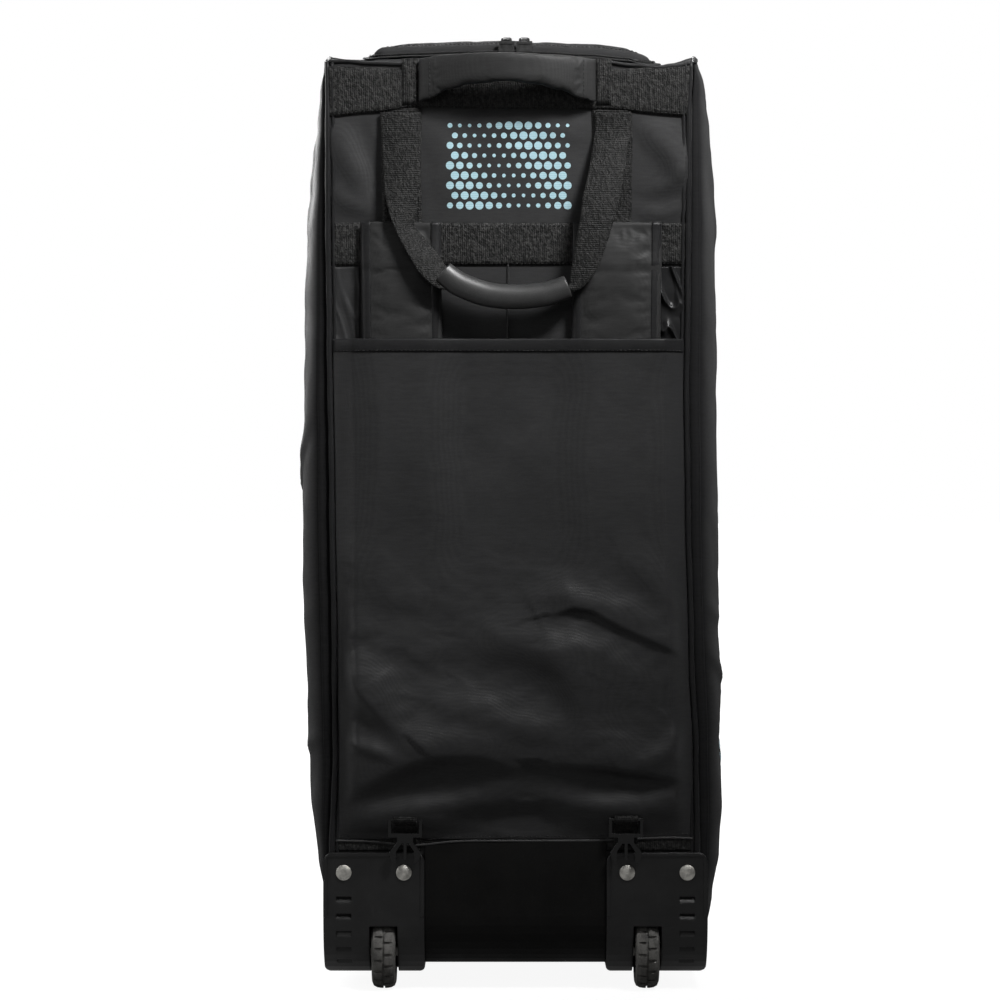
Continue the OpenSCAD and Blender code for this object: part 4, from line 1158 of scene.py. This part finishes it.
def handle_ring(x):
    """The padded handle's section at x: flat at its sewn ends, and bowed out in the middle."""
    low = along(HANDLE_LOWER, x)
    high = along(HANDLE_UPPER, x)
    u = min(1.0, abs((x - HANDLE_MID) / HANDLE_HALF))
    arch = max(0.0, math.cos(math.pi / 2 * u)) ** 0.7
    back = HANDLE_Y + 0.0014 - HANDLE_BOW * arch
    front = HANDLE_Y - 0.0028 - (HANDLE_BOW + HANDLE_T - 0.0036) * arch
    ring = []
    for a in circle(36):
        cz, cy = squircle(a, 0.55, 0.5)
        y = (back + front) / 2 - cy * ((back - front) / 2)
        z = (low + high) / 2 + cz * (high - low) / 2
        soft = 0.0011 * bumpy(x, 0.0, z, 26, 6.1) * arch * max(0.0, cy)
        ring.append(Vector((x, y - soft, z)))
    return ring


def grab_handle():
    """The wrapped handle over the top band."""
    xs = [mix(-0.0935, 0.0835, 0.5 * t + 0.5 * (0.5 - 0.5 * math.cos(math.pi * t)))
          for t in steps(0.0, 1.0, 110)]
    piece = ring_piece("grab_handle_pad", [handle_ring(x) for x in xs], "grab_handle_body", MAT["padding"],
                       ["grab_handle"], turn=True)

    def held(co):
        sewn = min(abs(co.x - LEAN - x) for x in HANDLE_SEAMS) < 0.003
        return sewn or abs(co.x - LEAN - HANDLE_MID) > 0.080
    swell(piece, held, 0.0022, voxel=0.0020)
    rows = [[p + Vector((0, -0.0002, 0)) for p in handle_ring(x) if p.y < HANDLE_Y - 0.001][3:-3]
            for x in HANDLE_SEAMS]
    stitch_piece("handle_stitches", rows, "grab_handle_body", (0, -1, 0))
    handle_tabs()


def handle_tabs():
    """The two ends of the handle's webbing, sewn down beside its pad."""
    low = [(-0.2, 0.8865), (0.2, 0.8865)]
    high = [(-0.2, 0.9330), (0.2, 0.9330)]
    rows = []
    for k, (x0, x1) in enumerate(((-0.110, -0.0942), (0.0840, 0.0995))):
        flat_band("handle_tab_%d" % k, x0, x1, low, high, 0.0018, ["handle_tabs"] if k == 0 else (), cols=10)
        for x in (x0 + 0.0025, x1 - 0.0025):
            rows.append([panel_point(x, z, 0.0038) for z in steps(0.889, 0.931, 10)])
    stitch_piece("tab_stitches", rows, "bag", (0, -1, 0))


# The carry loop's straps from the top down: outer edge, inner edge, each (x, depth before the panel, z)
LEFT_LOOP = metres([
    ((-132, 2.4, 879), (-91, 2.4, 879)),
    ((-130.5, 5, 850), (-91, 5, 850)),
    ((-128.5, 8.5, 818), (-91.5, 8.5, 818)),
    ((-126.5, 13, 796), (-93, 10, 796)),
    ((-120.5, 18, 772), (-96, 11, 776)),
    ((-112, 23, 752), (-96.5, 11, 764)),
    ((-101, 27, 732), (-84, 14, 750)),
    ((-90, 29, 715), (-75, 18, 738)),
    ((-76, 29, 703), (-65, 20, 723)),
    ((-64, 28, 700), (-58, 21, 713)),
])
RIGHT_LOOP = metres([
    ((119.5, 2.4, 879), (83, 2.4, 879)),
    ((118, 2.6, 860), (82.6, 2.6, 860)),
    ((115.5, 6.2, 842), (80, 7, 842)),
    ((112, 13, 818), (76, 15, 818)),
    ((107, 18, 792), (70.5, 20, 796)),
    ((100.5, 21, 768), (67.5, 23, 772)),
    ((92, 23, 740), (62, 24, 740)),
    ((83, 24, 718), (58, 24, 716)),
    ((70, 24, 703), (56.5, 24, 706)),
    ((60, 24, 698), (53, 24, 706)),
])


def loop_strap(name, edges, node):
    """A webbing strap of the carry loop, given by its two edges."""
    outer, inner = [smooth_path([Vector((x, BACK_Y - d - 0.0008, z)) for x, d, z in edge], 8)
                    for edge in zip(*edges)]
    rings = []
    for k, (a, b) in enumerate(zip(outer, inner)):
        ahead = (outer[min(k + 1, len(outer) - 1)] + inner[min(k + 1, len(inner) - 1)]
                 - outer[max(k - 1, 0)] - inner[max(k - 1, 0)]).normalized()
        n = (b - a).cross(ahead).normalized() * 0.00075
        curl = n * 1.2
        rings.append([a + n * 0.3, mix(a, b, 0.04) + n, mix(a, b, 0.5) + n + curl * 0.4, mix(a, b, 0.96) + n,
                      b + n * 0.3, b - n * 0.3, mix(a, b, 0.96) - n, mix(a, b, 0.5) - n + curl * 0.4,
                      mix(a, b, 0.04) - n, a - n * 0.3])
    ring_piece(name, rings, "carry_loop", MAT["strap"], [node])


GRIP_PATH = metres([(-69, 718.5), (-60, 711), (-49, 704.5), (-25, 696), (2, 693.5), (29, 695.5),
                    (44, 699.5), (56, 704)])


def carry_loop():
    """Two straps, joined by the moulded grip."""
    loop_strap("carry_strap_left", LEFT_LOOP, "left_carry_strap")
    loop_strap("carry_strap_right", RIGHT_LOOP, "right_carry_strap")
    path = smooth_path([Vector((x, GRIP_Y, z)) for x, z in GRIP_PATH], 9)

    def radius(t):
        lip = 1 - 0.30 * max(0.0, 1 - t / 0.012) ** 2 - 0.30 * max(0.0, 1 - (1 - t) / 0.012) ** 2
        return GRIP_R * (0.93 + 0.07 * math.sin(math.pi * t)) * lip
    ring_piece("loop_grip", tube_rings(path, radius, 32, 1.26), "carry_loop", MAT["grip"], ["carry_grip"])
    seam = [p + Vector((0, 0.0002 + GRIP_R * 0.86, -GRIP_R * 0.30)) for p in path[4:-4]]
    ring_piece("grip_seam", tube_rings(seam, 0.0008, 6), "carry_loop", MAT["grip"])


# ---- lower buckles ----

def buckle_tabs():
    """Webbing from under the base strip, round each lower buckle's bar and back."""
    for side, word in SIDES:
        path = [(BACK_Y - 0.0026, 0.1485), (BACK_Y - 0.0044, 0.1545), (BACK_Y - 0.0070, 0.1600),
                (BAR_Y + 0.0036, 0.1660), (BAR_Y + 0.0034, 0.1740)]
        path += [(BAR_Y + 0.0034 * math.cos(a), BAR_Z + 0.0034 * math.sin(a))
                 for a in (math.pi * k / 8 for k in range(1, 12))]
        path += [(BAR_Y + 0.0014, 0.1688), (BAR_Y + 0.0024, 0.1672)]
        points = smooth_path([Vector((side * BUCKLE_X, y, z)) for y, z in path], 3)
        rings = []
        for k, p in enumerate(points):
            ahead = (points[min(k + 1, len(points) - 1)] - points[max(k - 1, 0)]).normalized()
            n = Vector((1, 0, 0)).cross(ahead) * 0.0007
            w = Vector((0.0118, 0, 0))
            rings.append([p - w, p - w * 0.9 + n, p + w * 0.9 + n, p + w, p + w * 0.9 - n, p - w * 0.9 - n])
        ring_piece("buckle_strap_" + word, rings, "bag", MAT["strap"], [word + "_buckle_tab"], lean=0.0)


# ---- carried-over CAD nodes ----

CAD_FINISH = {
    "stiffener_board": "board", "floor_board": "board", "left_receiver": "buckle", "right_receiver": "buckle",
    "skid_plate": "skid", "left_wheel_housing": "moulded", "right_wheel_housing": "moulded",
    "housing_rivets": "rivet", "left_axle": "steel", "right_axle": "steel", "axle_nuts": "steel",
    "axle_spacers": "steel", "left_hub": "hub", "right_hub": "hub", "left_tyre": "tyre", "right_tyre": "tyre",
    "left_bearings": "steel", "right_bearings": "steel", "left_foot": "moulded", "right_foot": "moulded",
    "foot_screws": "steel", "left_slider": "slider", "right_slider": "slider", "left_pull": "slider",
    "right_pull": "slider", "left_buckle": "buckle", "right_buckle": "buckle",
}


def finish_cad_nodes():
    """Materials for the moulded and metal nodes, which are shown as the CAD has them."""
    for node, finish in CAD_FINISH.items():
        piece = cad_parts[node]
        piece.data.materials.clear()
        piece.data.materials.append(MAT[finish])


# ---- stage ----

def mirrored_rays(tree, rays):
    return math_node(tree, "MAXIMUM", rays.outputs["Is Glossy Ray"], rays.outputs["Is Transmission Ray"])


def white_stage():
    """A pale floor that keeps the shadow."""
    floor_mesh = bpy.data.meshes.new("floor")
    floor_mesh.from_pydata([(-30, -30, 0), (30, -30, 0), (30, 60, 0), (-30, 60, 0)], [], [(0, 1, 2, 3)])
    floor = bpy.data.objects.new("floor", floor_mesh)
    bpy.context.scene.collection.objects.link(floor)
    material = bpy.data.materials.new("floor_white")
    material.use_nodes = True
    tree = material.node_tree
    tree.nodes.clear()
    rays = add(tree, "ShaderNodeLightPath")
    seen = math_node(tree, "MAXIMUM", rays.outputs["Is Camera Ray"],
                     math_node(tree, "MULTIPLY", mirrored_rays(tree, rays), 0.15))
    place = add(tree, "ShaderNodeTexCoord").outputs["Object"]
    far = add(tree, "ShaderNodeVectorMath", {0: place}, operation="LENGTH").outputs["Value"]
    glowing = remap(tree, far, 0.35, 1.1, 0.74, 1.0)
    matt = add(tree, "ShaderNodeBsdfDiffuse", {"Color": (0.12, 0.12, 0.12, 1)})
    plain = add(tree, "ShaderNodeBsdfDiffuse", {"Color": (0.86, 0.86, 0.86, 1)})
    glow = add(tree, "ShaderNodeEmission", {"Color": (1, 1, 1, 1), "Strength": 1.25})
    pale = add(tree, "ShaderNodeMixShader", {0: glowing, 1: plain.outputs[0], 2: glow.outputs[0]})
    both = add(tree, "ShaderNodeMixShader", {0: seen, 1: matt.outputs[0], 2: pale.outputs[0]})
    out = add(tree, "ShaderNodeOutputMaterial")
    tree.links.new(both.outputs[0], out.inputs["Surface"])
    floor_mesh.materials.append(material)


def white_world():
    """A white backdrop for the camera, and a faint grey light from it on the bag."""
    world = bpy.data.worlds.new("studio")
    bpy.context.scene.world = world
    world.use_nodes = True
    tree = world.node_tree
    tree.nodes.clear()
    rays = add(tree, "ShaderNodeLightPath")
    toward = add(tree, "ShaderNodeSeparateXYZ", {0: add(tree, "ShaderNodeTexCoord").outputs["Generated"]})
    behind = remap(tree, toward.outputs["Y"], 0.25, 0.75, 0.0, 0.4)
    seen = math_node(tree, "MAXIMUM", rays.outputs["Is Camera Ray"],
                     math_node(tree, "MULTIPLY", mirrored_rays(tree, rays), behind))
    back = add(tree, "ShaderNodeBackground", {"Color": (1, 1, 1, 1), "Strength": 1.0})
    soft = add(tree, "ShaderNodeBackground", {"Color": (1, 1, 1, 1), "Strength": 0.045})
    pick = add(tree, "ShaderNodeMixShader", {0: seen, 1: soft.outputs[0], 2: back.outputs[0]})
    out = add(tree, "ShaderNodeOutputWorld")
    tree.links.new(pick.outputs[0], out.inputs["Surface"])


def lamp(name, place, target, size, power, spread=180):
    """A rectangular lamp that faces its target. spread is in degrees."""
    light = bpy.data.lights.new(name, "AREA")
    light.shape = "RECTANGLE"
    light.size, light.size_y = size
    light.energy = power
    light.spread = math.radians(spread)
    obj = bpy.data.objects.new(name, light)
    obj.location = place
    obj.rotation_mode = "QUATERNION"
    obj.rotation_quaternion = (Vector(target) - Vector(place)).to_track_quat("-Z", "Y")
    bpy.context.scene.collection.objects.link(obj)


def studio():
    """Lamps and camera: a small key lamp above, soft strips, and large lamps for the rear and sides."""
    lamp("key", (0.80, -1.08, 2.02), (0.0, BACK_Y, 0.87), (0.48, 0.40), 3.2, 47)
    lamp("left_strip", (-1.9, -0.70, 1.3), (0.0, BACK_Y, 0.70), (0.35, 1.3), 7.5)
    lamp("front_fill", (-0.5, -2.6, 1.6), (0.0, BACK_Y, 0.75), (1.6, 1.0), 3)
    lamp("top", (0.0, 0.8, 2.4), (0.0, 0.05, 0.8), (1.2, 0.8), 6)
    lamp("rear", (-0.9, 2.7, 1.5), (0.0, FRAME_Y, 0.5), (1.6, 1.2), 70)
    lamp("left_side", (-2.4, 1.8, 1.4), (0.0, 0.05, 0.5), (1.2, 1.2), 34)
    lamp("right_side", (2.4, 1.9, 1.4), (0.0, 0.05, 0.5), (1.2, 1.2), 20)
    camera = bpy.data.cameras.new("camera")
    camera.sensor_width = 36
    camera.lens = 108
    eye = bpy.data.objects.new("camera", camera)
    eye.location = (-0.0155, BACK_Y - 3.0, 0.492)
    eye.rotation_euler = (math.pi / 2, 0, 0)
    bpy.context.scene.collection.objects.link(eye)
    bpy.context.scene.camera = eye
    bpy.context.scene.view_settings.view_transform = "Standard"


studio()
white_stage()
white_world()
back_panel()
gussets()
seam_tapes()
top_and_front()
piping()
bands()
anchors()
print_field()
gusset_dots()
shoulder_straps()
lining()
stow_pocket()
padded_cover()
zip_chain()
hinge_seam()
cover_stitches()
grab_handle()
carry_loop()
buckle_tabs()
finish_cad_nodes()
